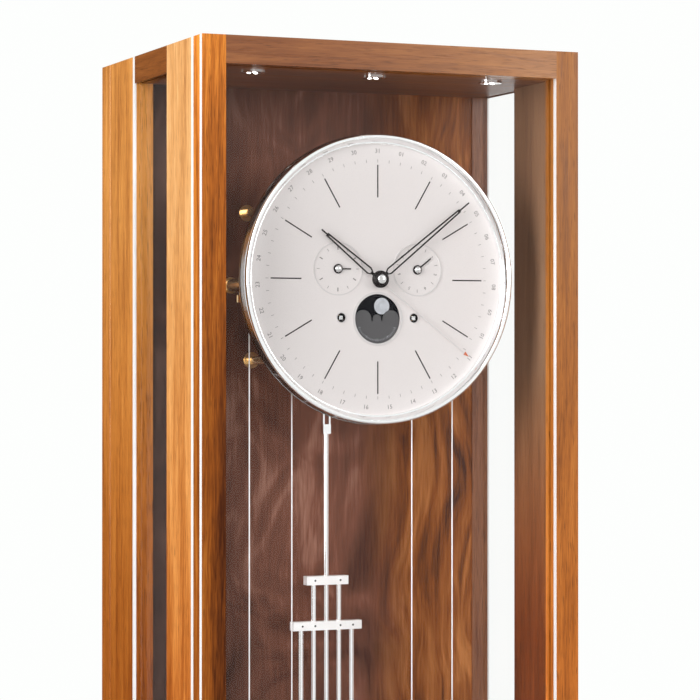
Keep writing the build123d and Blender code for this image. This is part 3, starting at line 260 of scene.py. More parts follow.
def metal(name, colour, roughness, lines=None, depth=0.00002, wear=0.06, metallic=1.0):
    """Metal with fine tool marks; lines is the axis that the marks run across."""
    shader = Shader(name)
    marks = shader.noise(shader.scaled(TOOL_MARKS[lines]), 1400 if lines else 500, 3.0)
    cloud = shader.noise(shader.coords, 22, 3.0)
    tint = shader.spread(cloud, 0.3, 0.7, 1.0 - wear, 1.0)
    shader.set(Base_Color=shader.dimmed(colour, tint), Metallic=metallic)
    shader.set(Roughness=shader.spread(marks, 0.3, 0.7, roughness, roughness * 1.5 + 0.02))
    shader.bump(marks, depth, 0.5)
    return shader.material


def turned_metal(name, colour, roughness, centre):
    """Metal turned on a lathe: rings about a front-to-back axis through the centre."""
    shader = Shader(name)
    shifted = shader.scaled((1, 1, 1), tuple(-c for c in centre))
    first, second = shader.part_of("X", shifted), shader.part_of("Z", shifted)
    square = shader.math("MULTIPLY_ADD", first, first, shader.math("MULTIPLY", second, second))
    radius = shader.math("SQRT", square)
    combine = shader.add("ShaderNodeCombineXYZ")
    shader.plug(shader.math("MULTIPLY", radius, 2600.0), combine.inputs[0])
    rings = shader.noise(combine.outputs[0], 1.0, 2.0)
    shader.set(Base_Color=colour, Metallic=1.0)
    shader.set(Roughness=shader.spread(rings, 0.3, 0.7, roughness, roughness * 1.6 + 0.03))
    shader.bump(rings, 0.00003, 0.6)
    return shader.material


def clear_glass(name, tint, film):
    """Thin clear glass that hardly bends what is seen through it, and lets lamps through.

    film is how strongly its polished surface mirrors."""
    shader = Shader(name)
    shader.set(Base_Color=tint, Transmission_Weight=1.0, IOR=1.01, Roughness=0.0)
    shader.set(Coat_Weight=film, Coat_Roughness=0.0)
    path = shader.add("ShaderNodeLightPath")
    open_to = shader.math("MAXIMUM", path.outputs["Is Shadow Ray"], path.outputs["Is Diffuse Ray"])
    through = shader.add("ShaderNodeBsdfTransparent")
    through.inputs["Color"].default_value = tint
    blend = shader.add("ShaderNodeMixShader")
    shader.plug(open_to, blend.inputs[0])
    shader.plug(shader.surface.outputs[0], blend.inputs[1])
    shader.plug(through.outputs[0], blend.inputs[2])
    shader.plug(blend.outputs[0], shader.output.inputs["Surface"])
    return shader.material


def drum_metal(name, brass, steel, change):
    """Brass with turned marks; in front of the depth where it changes, bright steel."""
    shader = Shader(name)
    marks = shader.noise(shader.scaled(TOOL_MARKS["Y"]), 1400, 3.0)
    is_steel = shader.math("LESS_THAN", shader.part_of("Y"), change)
    shader.set(Base_Color=shader.mix(is_steel, brass, steel), Metallic=1.0)
    shader.set(Roughness=shader.spread(marks, 0.3, 0.7, 0.16, 0.27))
    shader.bump(marks, 0.000006, 0.5)
    return shader.material


def painted(name, colour, roughness=0.4, grain=0.05, scale=900, metallic=0.0, shine=0.5):
    """Paint or print with a slight grain."""
    shader = Shader(name)
    speckle = shader.noise(shader.coords, scale, 2.0)
    tint = shader.spread(speckle, 0.3, 0.7, 1.0 - grain, 1.0 + grain)
    shader.set(Base_Color=shader.dimmed(colour, tint), Metallic=metallic, Specular_IOR_Level=shine)
    shader.set(Roughness=shader.spread(speckle, 0.3, 0.7, roughness, roughness + 0.08))
    shader.bump(speckle, 0.00001, 0.3)
    return shader.material


def glowing(name, colour, strength):
    """A lamp's bright face."""
    shader = Shader(name)
    shader.set(Base_Color=colour, Emission_Color=colour, Emission_Strength=strength)
    return shader.material


LIGHT, MIDDLE, DARK = (0.78, 0.37, 0.100), (0.59, 0.240, 0.052), (0.30, 0.095, 0.018)
RED_LIGHT, RED_MIDDLE, RED_DARK = (0.40, 0.17, 0.080), (0.23, 0.082, 0.038), (0.09, 0.030, 0.014)
FLAME_LIGHT = (0.50, 0.19, 0.055)

MATERIALS = {
    # painted light and shade: the sides darker and deeper towards the bottom, brighter at the top
    # where the key lamp falls
    "side": walnut("walnut_side", "Z", 1, LIGHT, MIDDLE, DARK, (1.15, 1.75, 0.68, 1.6, 1.12, 1.0),
                   shine=0.15),
    # painted light: the post paler and brighter at the top for the key lamp's sheen, deeper and
    # darker towards the bottom
    "front_post": walnut("walnut_lively", "Z", 4, (0.95, 0.55, 0.23), (0.62, 0.28, 0.085),
                         (0.27, 0.085, 0.018), (1.2, 1.75, 1.0, 1.75, 1.08, 0.92), contrast=0.95,
                         shine=0.12),
    # painted light: the top of the stile much brighter, where the key lamp lights it
    "left_stile": walnut("walnut_left_stile", "Z", 7, (0.66, 0.235, 0.034), (0.33, 0.090, 0.011),
                         (0.085, 0.020, 0.004), (1.6, 1.95, 0.92, 1.05, 1.75, 0.95), contrast=1.2,
                         shine=0.08),
    # painted light: the stile much brighter and deeper towards its bottom, dimmer at the top
    "right_stile": walnut("walnut_right_stile", "Z", 12, (0.60, 0.235, 0.050), (0.43, 0.145, 0.024),
                          (0.22, 0.068, 0.012), (1.2, 1.75, 1.7, 1.2, 0.95, 1.0), contrast=1.1,
                          gloss=0.25, shine=0.3),
    # painted sheen: the rail brighter and paler towards its right end, where the right lamp's
    # reflection lies
    "top_rail": walnut("walnut_top_rail", "X", 3, (0.40, 0.145, 0.036), (0.26, 0.080, 0.016),
                       (0.12, 0.034, 0.007), (-0.12, 0.16, 0.95, 1.05, 1.3, 0.8), contrast=1.1,
                       gloss=0.22, shine=0.5),
    "side_rail": walnut("walnut_side_rail", "Y", 5, (0.36, 0.125, 0.028), (0.25, 0.078, 0.015),
                        (0.12, 0.036, 0.008)),
    "board": walnut("walnut_board", "X", 9, RED_LIGHT, RED_MIDDLE, RED_DARK),
    "back_post": walnut("walnut_back_post", "Z", 8, RED_LIGHT, RED_MIDDLE, RED_DARK),
    # painted light and shade: the inner face dimmer and paler at the top for a painted haze of
    # reflections, brighter and deeper towards the bottom
    "inner_post": walnut("walnut_inner", "Z", 6, (0.38, 0.145, 0.055), (0.24, 0.080, 0.028),
                         (0.09, 0.028, 0.010), (1.3, 1.6, 1.45, 1.35, 0.68, 0.56)),
    "back": figured_walnut("walnut_figured", (0.52, 0.275, 0.200), (0.20, 0.076, 0.046),
                           (0.060, 0.020, 0.011), (0.28, 0.084, 0.018)),
    "inlay": metal("inlay_metal", rgb(1.0, 0.98, 0.96), 0.30, "Z", metallic=0.15),
    "door_glass": clear_glass("door_glass", rgb(0.997, 0.998, 0.997), 0.18),
    "side_glass": clear_glass("side_glass", rgb(0.997, 0.998, 0.997), 0.14),
    "chrome": metal("polished_chrome", rgb(0.95, 0.955, 0.96), 0.05, None, 0.000002, 0.02),
    # painted shade: a darker copy of the polished chrome, for the dark reflections in the bezel's
    # side wall
    "shaded_chrome": metal("shaded_chrome", rgb(0.30, 0.29, 0.29), 0.07, None, 0.000002, 0.02),
    "dial": painted("dial_silver", rgb(0.84, 0.79, 0.78), 0.45, 0.02, 1500, 0.0, 0.2),
    "rim": painted("rim_silver", rgb(0.72, 0.685, 0.68), 0.35, 0.02, 1500, 0.0, 0.3),
    "print_dark": painted("print_dark", rgb(0.020, 0.012, 0.012), 0.5, shine=0.1),
    "print_grey": painted("print_grey", rgb(0.27, 0.24, 0.235), 0.5, shine=0.2),
    "mask": painted("moon_mask_grey", rgb(0.095, 0.092, 0.096), 0.5, 0.08, shine=0.2),
    "night": painted("night_sky", rgb(0.004, 0.004, 0.006), 0.5, 0.1, shine=0.02),
    "moon": painted("moon_silver", rgb(0.52, 0.54, 0.58), 0.5, 0.16, 260),
    "black": painted("hand_black", rgb(0.008, 0.005, 0.005), 0.45, 0.1, shine=0.12),
    "drum": drum_metal("drum_brass", rgb(0.90, 0.66, 0.36), rgb(0.5, 0.5, 0.5),
                       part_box("movement_plates")[0].y),
    "black_steel": painted("bracket_black", rgb(0.030, 0.028, 0.028), 0.42, 0.15, shine=0.3),
    "red": painted("tip_red", rgb(0.62, 0.13, 0.04), 0.4),
    "brass": metal("brass_polished", rgb(0.90, 0.66, 0.36), 0.16, "Y", 0.000006),
    "brass_brushed": metal("brass_brushed", rgb(0.80, 0.58, 0.28), 0.30, "X", 0.000006),
    "steel": metal("steel_bright", rgb(0.94, 0.94, 0.95), 0.14, "Z", 0.000004),
    "bar": metal("crossbar_satin", rgb(1.0, 1.0, 1.0), 0.36, "X", 0.000006, 0.03, metallic=0.35),
    "rod": metal("rod_polished", rgb(0.95, 0.95, 0.96), 0.07, None, 0.0000005, 0.02),
    "nut": metal("nut_chrome", rgb(0.62, 0.61, 0.61), 0.06, None, 0.000002, 0.02),
    "nickel": metal("nickel_satin", rgb(0.88, 0.87, 0.85), 0.20, "Z", 0.000006),
    "cable": metal("cable_strand", rgb(0.93, 0.93, 0.94), 0.35, "Z", 0.000006),
    "lamp": glowing("lamp_led", rgb(1.0, 0.97, 0.92), 14.0),
}

NODE_MATERIALS = {
    "side": ("plinth", "left_back_post", "rear_cover"),
    "front_post": ("left_front_post",),
    "inner_post": ("right_front_post",),
    "back_post": ("right_back_post",),
    "left_stile": ("door_left_stile",),
    "right_stile": ("door_right_stile",),
    "top_rail": ("door_top_rail", "door_bottom_rail"),
    "side_rail": ("side_rails",),
    "board": ("bottom_board", "top_board"),
    "back": ("back_panel",),
    "inlay": ("case_inlay_strips", "door_inlay_strips"),
    "door_glass": ("door_glass",),
    "side_glass": ("side_glasses",),
    "chrome": ("ceiling_spots", "door_lock"),
    "rim": ("dial_rims", "date_hand"),
    "dial": ("dial_plate",),
    "mask": ("moon_mask",),
    "night": ("moon_disc",),
    "black": ("hour_hand", "minute_hand", "month_hand", "weekday_hand"),
    "black_steel": ("mounting_bracket",),
    "brass": ("dial_pillars", "thumb_screws", "movement_pillars", "bell"),
    "drum": ("time_drum", "strike_drum"),
    "brass_brushed": ("movement_plates", "great_wheel", "centre_wheel", "third_wheel",
                      "escape_wheel"),
    "steel": ("hinge_pins", "anchor", "hammer", "suspension_spring", "time_stirrup",
              "strike_stirrup", "door_key", "hinge_plates"),
    "rod": ("pendulum_rods",),
    "bar": ("pendulum_crossbars",),
    "nickel": ("rating_nut", "time_weight", "strike_weight", "time_pulley", "strike_pulley"),
}

SOFT_EDGES = {
    0.8: ("plinth", "left_front_post", "right_front_post", "left_back_post", "right_back_post",
          "rear_cover", "door_left_stile", "door_right_stile", "door_top_rail", "door_bottom_rail"),
    0.4: ("pendulum_crossbars", "mounting_bracket", "movement_plates", "side_rails"),
}


def dress(name, material):
    """Gives a CAD node one material on every face."""
    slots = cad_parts[name].data.materials
    slots.clear()
    slots.append(material)


for key, names in NODE_MATERIALS.items():
    for node_name in names:
        dress(node_name, MATERIALS[key])
bob_low, bob_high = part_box("pendulum_bob")
bob_centre = (bob_low + bob_high) / 2
dress("pendulum_bob", turned_metal("bob_turned", rgb(0.86, 0.85, 0.83), 0.22, bob_centre))

for width, names in SOFT_EDGES.items():
    for node_name in names:
        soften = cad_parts[node_name].modifiers.new("soft_edges", "BEVEL")
        soften.width = width * MM
        soften.segments = 2
        soften.limit_method = "ANGLE"
        soften.angle_limit = radians(40)


# ---------------------------------------------------------------- mesh helpers
PRINT = 0.12 * MM  # thickness of printed marks


def piece(name, build, material, body, smooth=True):
    """Makes a named mesh piece with a bmesh function, and lets it ride on a body."""
    mesh = bpy.data.meshes.new(name)
    bm = bmesh.new()
    build(bm)
    bmesh.ops.remove_doubles(bm, verts=bm.verts, dist=1e-7)
    bmesh.ops.recalc_face_normals(bm, faces=bm.faces)
    bm.to_mesh(mesh)
    bm.free()
    mesh.materials.append(material)
    obj = bpy.data.objects.new(name, mesh)
    bpy.context.scene.collection.objects.link(obj)
    if smooth:
        mesh.shade_smooth()
        mesh.set_sharp_from_angle(angle=radians(35))
    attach(obj, body)
    return obj


def on_dial(x, z, depth=0.0):
    """A point x, z from the dial's centre, in front of its face by depth."""
    return Vector((CENTRE.x + x, DIAL_FACE - depth, CENTRE.z + z))


def clock_point(radius, angle, centre=(0.0, 0.0)):
    """x, z of a point at a clock angle, in degrees, about a centre on the dial."""
    turn = radians(angle)
    return centre[0] + radius * sin(turn), centre[1] + radius * cos(turn)


def raised(bm, outline, base, height):
    """A thin flat shape standing in front of the dial: outline points are x, z pairs."""
    front = [bm.verts.new(on_dial(x, z, base + height)) for x, z in outline]
    rear = [bm.verts.new(on_dial(x, z, base)) for x, z in outline]
    bm.faces.new(front)
    bm.faces.new(rear[::-1])
    count = len(outline)
    for i in range(count):
        j = (i + 1) % count
        bm.faces.new((front[i], rear[i], rear[j], front[j]))


def radial_bar(bm, inner, outer, width, angle, centre=(0.0, 0.0), base=0.0, height=PRINT):
    turn = radians(angle)
    along = Vector((sin(turn), cos(turn)))
    across = Vector((cos(turn), -sin(turn))) * width / 2
    middle = Vector(centre)
    corners = (middle + along * inner - across, middle + along * outer - across,
               middle + along * outer + across, middle + along * inner + across)
    raised(bm, [tuple(c) for c in corners], base, height)


def lathe(bm, profile, centre, axis="Y", segments=128):
    """Turns a profile of (radius, distance along the axis) about an axis through centre."""
    rings = []
    for radius, along in profile:
        ring = []
        for i in range(segments):
            turn = 2 * pi * i / segments
            a, b = radius * cos(turn), radius * sin(turn)
            offset = (a, along, b) if axis == "Y" else (a, b, along)
            ring.append(bm.verts.new(Vector(centre) + Vector(offset)))
        rings.append(ring)
    for near, far in zip(rings, rings[1:]):
        for i in range(segments):
            j = (i + 1) % segments
            bm.faces.new((near[i], near[j], far[j], far[i]))
    return rings


def arc(centre, radius, start, end, steps):
    """Points of a round stretch of a lathe profile, angles in degrees."""
    sweep = [radians(start + (end - start) * i / steps) for i in range(steps + 1)]
    return [(centre[0] + radius * cos(t), centre[1] + radius * sin(t)) for t in sweep]


def add_text(bm, text, size, centre, turn, base, height):
    """Numerals as thin raised shapes, turned clockwise by an angle in degrees."""
    curve = bpy.data.curves.new("numeral", "FONT")
    curve.body = text
    curve.size = size
    curve.align_x = "CENTER"
    curve.align_y = "CENTER"
    curve.extrude = height / 2
    curve.resolution_u = 2
    obj = bpy.data.objects.new("numeral", curve)
    bpy.context.scene.collection.objects.link(obj)
    bpy.context.view_layer.update()
    mesh = bpy.data.meshes.new_from_object(obj.evaluated_get(bpy.context.evaluated_depsgraph_get()))
    place = (Matrix.Translation(on_dial(centre[0], centre[1], base + height / 2))
             @ Matrix.Rotation(radians(turn), 4, "Y") @ Matrix.Rotation(pi / 2, 4, "X"))
    mesh.transform(place)
    bm.from_mesh(mesh)
    bpy.data.objects.remove(obj)
    bpy.data.curves.remove(curve)
    bpy.data.meshes.remove(mesh)


# ---------------------------------------------------------------- dial printing
BATON = (89.5 * MM, 125 * MM, 1.35 * MM)  # start, end and width of an hour mark
TICK = (127.5 * MM, 130.8 * MM, 0.42 * MM)  # the same of a minute mark
HEAVY_MARK = (20.5 * MM, 24.6 * MM, 1.1 * MM)  # and of the marks of the two small dials
LIGHT_MARK = (21.5 * MM, 24.6 * MM, 0.5 * MM)
DAY_MARK = (21.5 * MM, 25.0 * MM, 0.5 * MM)
NUMERAL_RADIUS = 140 * MM
NUMERAL_SIZE = 6.6 * MM
SMALL_NUMERAL_RADIUS = 22.0 * MM
SMALL_NUMERAL_SIZE = 5.0 * MM
DAYS = 31


def hour_batons(bm):
    for hour in range(12):
        radial_bar(bm, *BATON, 30 * hour)


def minute_ticks(bm):
    for minute in range(60):
        radial_bar(bm, *TICK, 6 * minute)


def date_numerals(bm):
    for day in range(1, DAYS + 1):
        angle = 360 / DAYS * (day % DAYS)
        upside_down = 95 < angle < 265
        turn = angle + 180 if upside_down else angle
        add_text(bm, f"{day:02d}", NUMERAL_SIZE, clock_point(NUMERAL_RADIUS, angle), turn, 0, PRINT)


def subdial_marks(bm):
    for month in range(12):
        mark = HEAVY_MARK if month % 2 == 0 else LIGHT_MARK
        radial_bar(bm, *mark, 30 * month, SUBDIALS["month"])
    for day in range(7):
        angle = 360 / 7 * day
        radial_bar(bm, *DAY_MARK, angle + 180 / 7, SUBDIALS["weekday"])
        spot = clock_point(SMALL_NUMERAL_RADIUS, angle, SUBDIALS["weekday"])
        add_text(bm, str(day + 1), SMALL_NUMERAL_SIZE, spot, angle, 0, PRINT)


piece("hour_batons", hour_batons, MATERIALS["print_dark"], "case", smooth=False)
piece("minute_ticks", minute_ticks, MATERIALS["print_grey"], "case", smooth=False)
piece("date_numerals", date_numerals, MATERIALS["print_grey"], "case", smooth=False)
piece("subdial_marks", subdial_marks, MATERIALS["print_grey"], "case", smooth=False)

# ---------------------------------------------------------------- moon window
MOON_LOW, MOON_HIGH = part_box("moon_disc")
MOON_CENTRE = (0.0, (MOON_LOW.z + MOON_HIGH.z) / 2 - CENTRE.z)
MASK_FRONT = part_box("moon_mask")[0].y
DISC_FRONT = MOON_LOW.y
MOON_SPOT = (6 * MM, 14 * MM)  # the moon's middle, from the window's
MOON_SPOT_RADIUS = 9 * MM
MOON_PRINT, SCALE_PRINT = 0.10 * MM, 0.08 * MM  # thicknesses
SCALE_START, SCALE_SWEEP, SCALE_STEPS = 115, 130, 28  # degrees, along the window's lower edge
LONG_STEP = (21.6 * MM, 24.2 * MM, 0.5 * MM)  # start, end and width of its marks
SHORT_STEP = (22.6 * MM, 24.2 * MM, 0.3 * MM)


def moon_face(bm):
    centre = (MOON_CENTRE[0] + MOON_SPOT[0], MOON_CENTRE[1] + MOON_SPOT[1])
    circle = [clock_point(MOON_SPOT_RADIUS, 360 / 48 * i, centre) for i in range(48)]
    raised(bm, circle, DIAL_FACE - DISC_FRONT, MOON_PRINT)


def mask_scale(bm):
    base = DIAL_FACE - MASK_FRONT
    for tick in range(SCALE_STEPS + 1):
        angle = SCALE_START + SCALE_SWEEP / SCALE_STEPS * tick
        mark = LONG_STEP if tick % 7 == 0 else SHORT_STEP
        radial_bar(bm, *mark, angle, MOON_CENTRE, base, SCALE_PRINT)


piece("moon_face", moon_face, MATERIALS["moon"], "moon", smooth=False)
piece("moon_scale", mask_scale, MATERIALS["moon"], "case", smooth=False)


# ---------------------------------------------------------------- bezel
BEZEL_DEPTH = BEZEL_HIGH.y - BEZEL_LOW.y
BEZEL_AXIS = (CENTRE.x, BEZEL_LOW.y, CENTRE.z)
WALL_INSET = 0.7 * MM  # the wall's step in from the two rims
RING_BACK = 4.2 * MM  # where the bright front ring meets the dark wall


def bezel_ring(bm):
    """Rounded front ring with a groove, and the stepped slope down to the dial."""
    outer = BEZEL_RADIUS
    profile = [(outer - 3.0 * MM, RING_BACK), (outer - WALL_INSET, RING_BACK)]
    profile += arc((outer - 3.2 * MM, 2.5 * MM), 2.5 * MM, 0, -90, 12)
    profile += [(outer - 4.6 * MM, 0.0), (outer - 4.9 * MM, 0.7 * MM), (outer - 5.4 * MM, 0.9 * MM),
                (outer - 8.6 * MM, 5.2 * MM), (outer - 8.9 * MM, 6.2 * MM)]
    profile += arc((outer - 9.6 * MM, 8.0 * MM), 1.1 * MM, -60, -150, 6)
    profile += [(outer - 11.0 * MM, DIAL_FACE - BEZEL_LOW.y), (outer - 3.0 * MM, RING_BACK)]
    lathe(bm, profile, BEZEL_AXIS, segments=256)


def bezel_wall(bm):
    """The drum's wall, with a rolled rear rim; its darker copy of the chrome is painted shade for
    the dark reflections in its side.
    """
    outer = BEZEL_RADIUS
    profile = [(outer - 7 * MM, BEZEL_DEPTH), (outer - 0.6 * MM, BEZEL_DEPTH)]
    profile += arc((outer - 1.2 * MM, BEZEL_DEPTH - 1.2 * MM), 1.2 * MM, 60, 0, 6)
    profile += [(outer, BEZEL_DEPTH - 2.6 * MM), (outer - WALL_INSET, BEZEL_DEPTH - 3.2 * MM),
                (outer - WALL_INSET, RING_BACK), (outer - 3.0 * MM, RING_BACK),
                (outer - 7 * MM, BEZEL_DEPTH)]
    lathe(bm, profile, BEZEL_AXIS, segments=256)


BEZEL_PIECES = (("bezel_ring", bezel_ring, "chrome"), ("bezel_wall", bezel_wall, "shaded_chrome"))
for name, shape, finish in BEZEL_PIECES:
    made = piece(name, shape, MATERIALS[finish], "case")
    made.data.set_sharp_from_angle(angle=radians(28))
    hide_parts("bezel")


HOLE_SHADE_RADIUS = 4.95 * MM


def winding_hole_shades(bm):
    """Black tubes in the two winding holes, painted shade for the holes' dark insides; the winding
    squares stand inside them.
    """
    for side in ("time", "strike"):
        low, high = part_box(f"{side}_drum")
        centre = ((low.x + high.x) / 2, DIAL_FACE, (low.z + high.z) / 2)
        profile = [(HOLE_SHADE_RADIUS, 0.3 * MM), (HOLE_SHADE_RADIUS, 9 * MM), (3.3 * MM, 9 * MM),
                   (3.3 * MM, 8 * MM), (4.3 * MM, 7.6 * MM), (4.5 * MM, 0.3 * MM),
                   (HOLE_SHADE_RADIUS, 0.3 * MM)]
        lathe(bm, profile, centre, segments=48)


piece("winding_hole_shades", winding_hole_shades, MATERIALS["black"], "case")


# ---------------------------------------------------------------- hands and nuts
def dome(bm, centre, front, rear, radius, segments=64):
    """A domed nut: a short wall and a round cap, its nose towards the front."""
    rise = (rear - front) * 0.72
    profile = [(radius, rear), (radius, front + rise)]
    profile += [(radius * cos(t), front + rise * (1 - sin(t)))
                for t in [radians(9 * i) for i in range(1, 10)]]
    profile += [(radius * 0.02, front)]
    rings = lathe(bm, profile, (centre[0], 0, centre[1]), segments=segments)
    bm.faces.new(rings[-1])


CENTRE_NUT_RADIUS, SMALL_NUT_RADIUS = 7.8 * MM, 4.1 * MM


def centre_nut(bm):
    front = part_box("minute_hand")[0].y
    dome(bm, (CENTRE.x, CENTRE.z), front - 0.8 * MM, front + 4.2 * MM, CENTRE_NUT_RADIUS)


piece("centre_nut", centre_nut, MATERIALS["nut"], "minute")
for hand, spot in SUBDIALS.items():
    hand_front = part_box(f"{hand}_hand")[0].y

    def small_nut(bm, front=hand_front, spot=spot):
        centre = (CENTRE.x + spot[0], CENTRE.z + spot[1])
        dome(bm, centre, front - 1.8 * MM, front + 1.2 * MM, SMALL_NUT_RADIUS)

    piece(f"{hand}_nut", small_nut, MATERIALS["nut"], hand)


DATE_ANGLE = 128  # degrees clockwise, where the date hand points
TIP_FOOT, TIP_POINT = 130.2 * MM, 136.9 * MM  # from the dial's centre
TIP_HALF = 2.1 * MM  # half its width


def red_tip(bm):
    """A small arrowhead lying on the end of the date hand."""
    front = DIAL_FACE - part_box("date_hand")[0].y
    along = Vector((sin(radians(DATE_ANGLE)), cos(radians(DATE_ANGLE))))
    across = Vector((cos(radians(DATE_ANGLE)), -sin(radians(DATE_ANGLE)))) * TIP_HALF
    corners = (along * TIP_FOOT - across, along * TIP_POINT, along * TIP_FOOT + across)
    raised(bm, [tuple(c) for c in corners], front, PRINT)


piece("date_tip", red_tip, MATERIALS["red"], "date", smooth=False)


# ---------------------------------------------------------------- pendulum
BAR_LOW, BAR_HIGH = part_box("pendulum_crossbars")
BAR_HALF_HEIGHT = 5 * MM
BAR_STEP = {"low": 51 * MM, "high": 51.5 * MM}  # from a narrow crossbar to the wide one by it
ROD_PITCH = 15.5 * MM
PIN_RADIUS = 1.15 * MM


def crossbar_pins(bm):
    """Dark clamping pins with domed heads on the four crossbars' faces."""
    low, high = BAR_LOW.z + BAR_HALF_HEIGHT, BAR_HIGH.z - BAR_HALF_HEIGHT
    narrow, wide = (1,), (1, 2)  # which rods, counted from the middle one, a bar clamps
    rows = ((low, narrow), (low + BAR_STEP["low"], wide),
            (high - BAR_STEP["high"], wide), (high, narrow))
    for z, rods in rows:
        for count in rods:
            for x in (-count * ROD_PITCH, count * ROD_PITCH):
                profile = [(PIN_RADIUS, 0.2 * MM), (PIN_RADIUS, -0.1 * MM),
                           (0.7 * PIN_RADIUS, -0.4 * MM), (0.2 * PIN_RADIUS, -0.5 * MM)]
                rings = lathe(bm, profile, (x, BAR_LOW.y, z), segments=20)
                bm.faces.new(rings[-1])


piece("crossbar_pins", crossbar_pins, MATERIALS["black_steel"], "pendulum")


# ---------------------------------------------------------------- ceiling lamps
SPOTS_LOW, SPOTS_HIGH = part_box("ceiling_spots")
SPOT_RADIUS = 13 * MM
SPOT_Y = (SPOTS_LOW.y + SPOTS_HIGH.y) / 2
SPOT_XS = (SPOTS_LOW.x + SPOT_RADIUS, 0.0, SPOTS_HIGH.x - SPOT_RADIUS)
DOT_RADIUS = 2.0 * MM
DOT_CIRCLE = 4.6 * MM  # the three light points of a lamp stand on this radius


def lamp_rings(bm):
    for x in SPOT_XS:
        profile = [(SPOT_RADIUS, 0.0)] + arc((SPOT_RADIUS - 2.2 * MM, 0), 2.2 * MM, 0, -180, 10)
        profile += [(SPOT_RADIUS - 4.6 * MM, -0.2 * MM)]
        lathe(bm, profile, (x, SPOT_Y, CEILING), "Z", 48)


def lamp_dots(bm):
    for x in SPOT_XS:
        for dot in range(3):
            turn = 2 * pi / 3 * dot + 0.5
            centre = (x + DOT_CIRCLE * cos(turn), SPOT_Y + DOT_CIRCLE * sin(turn), SPOTS_LOW.z)
            profile = [(DOT_RADIUS, 0.0), (DOT_RADIUS, -0.25 * MM), (0.2 * DOT_RADIUS, -0.7 * MM)]
            rings = lathe(bm, profile, centre, "Z", 20)
            bm.faces.new(rings[-1])


piece("lamp_rings", lamp_rings, MATERIALS["chrome"], "case")
piece("lamp_dots", lamp_dots, MATERIALS["lamp"], "case")


# ---------------------------------------------------------------- cables
LOOP_STEPS = 40


def tube(bm, points, radius, sides=10):
    """A round tube along a list of points, closed at both ends."""
    rings = []
    for i, point in enumerate(points):
        ahead = points[min(i + 1, len(points) - 1)] - points[max(i - 1, 0)]
        side = Vector((0, 1, 0))
        other = ahead.normalized().cross(side)
        ring = [bm.verts.new(point + radius * (side * cos(2 * pi * k / sides)
                                               + other * sin(2 * pi * k / sides)))
                for k in range(sides)]
        rings.append(ring)
    for near, far in zip(rings, rings[1:]):
        for k in range(sides):
            m = (k + 1) % sides
            bm.faces.new((near[k], near[m], far[m], far[k]))
    bm.faces.new(rings[0][::-1])
    bm.faces.new(rings[-1])


def cable(side, outward):
    """Two straight runs down to the pulley, and the loop under the pulley, which rides on the load.
    """
    low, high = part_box(f"{side}_cable")
    radius = (high.y - low.y) / 2
    axle = (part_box(f"{side}_pulley")[0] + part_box(f"{side}_pulley")[1]) / 2
    drum_low, drum_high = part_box(f"{side}_drum")
    tops = {"inner": (drum_low.z + drum_high.z) / 2, "outer": high.z}
    lead = (high.x - low.x) / 2 - radius
    for run, top in tops.items():
        x = axle.x + (lead if run == "outer" else -lead) * outward
        ends = [Vector((x, axle.y, top)), Vector((x, axle.y, axle.z))]
        obj = piece(f"{side}_cable_{run}", lambda bm, ends=ends: tube(bm, ends, radius),
                    MATERIALS["cable"], "case")
        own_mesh(obj)
        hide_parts(f"{side}_cable")
    turn = [pi + pi * i / LOOP_STEPS for i in range(LOOP_STEPS + 1)]
    loop = [Vector((axle.x + lead * cos(t), axle.y, axle.z + lead * sin(t))) for t in turn]
    piece(f"{side}_cable_loop", lambda bm: tube(bm, loop, radius),
          MATERIALS["cable"], f"{side}_load")


cable("time", 1)
cable("strike", -1)

# ---------------------------------------------------------------- light, floor and camera
scene = bpy.context.scene
scene.view_settings.view_transform = "Standard"
AMBIENT = 0.30  # the studio's strength as soft light
FRONT_MIRROR, BACK_MIRROR = 0.85, 0.05  # its strength in reflections, in front and behind


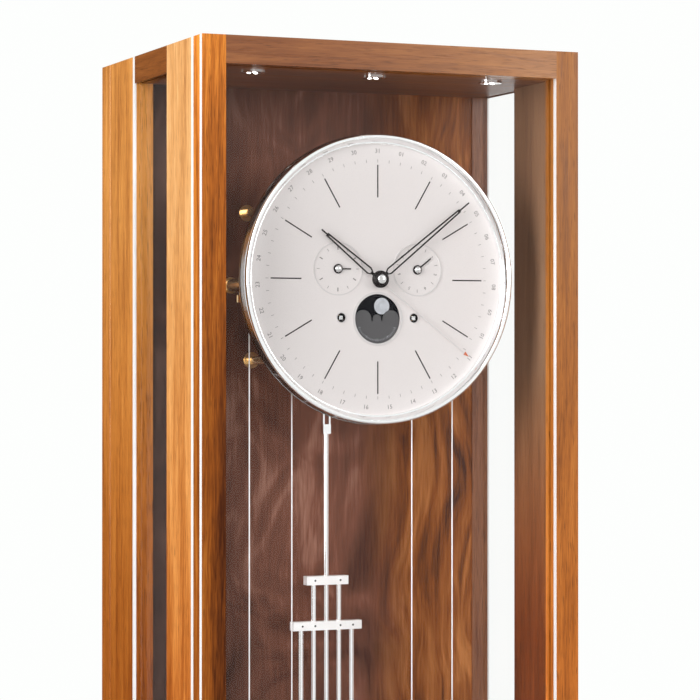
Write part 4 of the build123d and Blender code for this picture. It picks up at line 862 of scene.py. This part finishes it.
def backdrop():
    """White studio: white where it is seen, soft as light, mirrored brightly only in front."""
    world = bpy.data.worlds.new("studio")
    scene.world = world
    world.use_nodes = True
    tree = world.node_tree
    tree.nodes.clear()

    def node(kind, **settings):
        made = tree.nodes.new(kind)
        for key, value in settings.items():
            setattr(made, key, value)
        return made

    path = node("ShaderNodeLightPath")
    seen = node("ShaderNodeMath", operation="MAXIMUM")
    tree.links.new(path.outputs["Is Camera Ray"], seen.inputs[0])
    tree.links.new(path.outputs["Is Transmission Ray"], seen.inputs[1])
    direction = node("ShaderNodeSeparateXYZ")
    tree.links.new(node("ShaderNodeTexCoord").outputs["Generated"], direction.inputs[0])
    mirrored = node("ShaderNodeMapRange", interpolation_type="SMOOTHSTEP")
    tree.links.new(direction.outputs["Y"], mirrored.inputs[0])
    for socket, value in zip(mirrored.inputs[1:5], (-0.5, 0.4, FRONT_MIRROR, BACK_MIRROR)):
        socket.default_value = value
    rise = node("ShaderNodeMapRange", interpolation_type="SMOOTHSTEP")
    tree.links.new(direction.outputs["Z"], rise.inputs[0])
    for socket, value in zip(rise.inputs[1:5], (-0.10, 0.10, 0.35, 1.1)):
        socket.default_value = value
    shaded = node("ShaderNodeMath", operation="MULTIPLY")
    tree.links.new(mirrored.outputs[0], shaded.inputs[0])
    tree.links.new(rise.outputs[0], shaded.inputs[1])
    strength = node("ShaderNodeMix")
    tree.links.new(path.outputs["Is Glossy Ray"], strength.inputs[0])
    strength.inputs[2].default_value = AMBIENT
    tree.links.new(shaded.outputs[0], strength.inputs[3])
    lighting = node("ShaderNodeBackground")
    lighting.inputs["Color"].default_value = rgb(1.0, 0.99, 0.98)
    tree.links.new(strength.outputs[0], lighting.inputs["Strength"])
    white = node("ShaderNodeBackground")
    white.inputs["Color"].default_value = rgb(0.985, 0.995, 0.985)
    blend = node("ShaderNodeMixShader")
    tree.links.new(seen.outputs[0], blend.inputs[0])
    tree.links.new(lighting.outputs[0], blend.inputs[1])
    tree.links.new(white.outputs[0], blend.inputs[2])
    tree.links.new(blend.outputs[0], node("ShaderNodeOutputWorld").inputs["Surface"])


def softbox(name, place, target, width, height, power):
    light = bpy.data.lights.new(name, "AREA")
    light.shape = "RECTANGLE"
    light.size = width
    light.size_y = height
    light.energy = power
    obj = bpy.data.objects.new(name, light)
    scene.collection.objects.link(obj)
    obj.location = place
    obj.rotation_euler = (Vector(target) - Vector(place)).to_track_quat("-Z", "Y").to_euler()


def floor():
    mesh = bpy.data.meshes.new("floor")
    bm = bmesh.new()
    bmesh.ops.create_grid(bm, x_segments=1, y_segments=1, size=3.0)
    bm.to_mesh(mesh)
    bm.free()
    mesh.materials.append(painted("floor_pale", rgb(0.86, 0.86, 0.85), 0.6, 0.01, 60))
    obj = bpy.data.objects.new("floor", mesh)
    scene.collection.objects.link(obj)


EYE = (-1.1351, -2.7669, 1.6058)
YAW, RISE = radians(22.618), radians(0.293)  # to the right of straight on, and upwards
LENS = 135.8


def camera():
    """Standing eye height, front-left of the clock, aimed at its upper part."""
    data = bpy.data.cameras.new("camera")
    data.sensor_width = 36.0
    data.lens = LENS
    obj = bpy.data.objects.new("camera", data)
    scene.collection.objects.link(obj)
    obj.location = EYE
    look = Vector((sin(YAW) * cos(RISE), cos(YAW) * cos(RISE), sin(RISE)))
    obj.rotation_euler = look.to_track_quat("-Z", "Y").to_euler()
    scene.camera = obj


backdrop()
floor()
camera()
softbox("key_left", (-2.4, -0.9, 2.1), (0, 0, 1.6), 1.4, 1.8, 68)
softbox("front_fill", (-0.9, -3.4, 2.4), (0, 0, 1.5), 1.6, 1.6, 28)
softbox("right_sheen", (2.45, -3.4, 2.5), (0.2, -0.17, 1.9), 1.1, 1.3, 22)
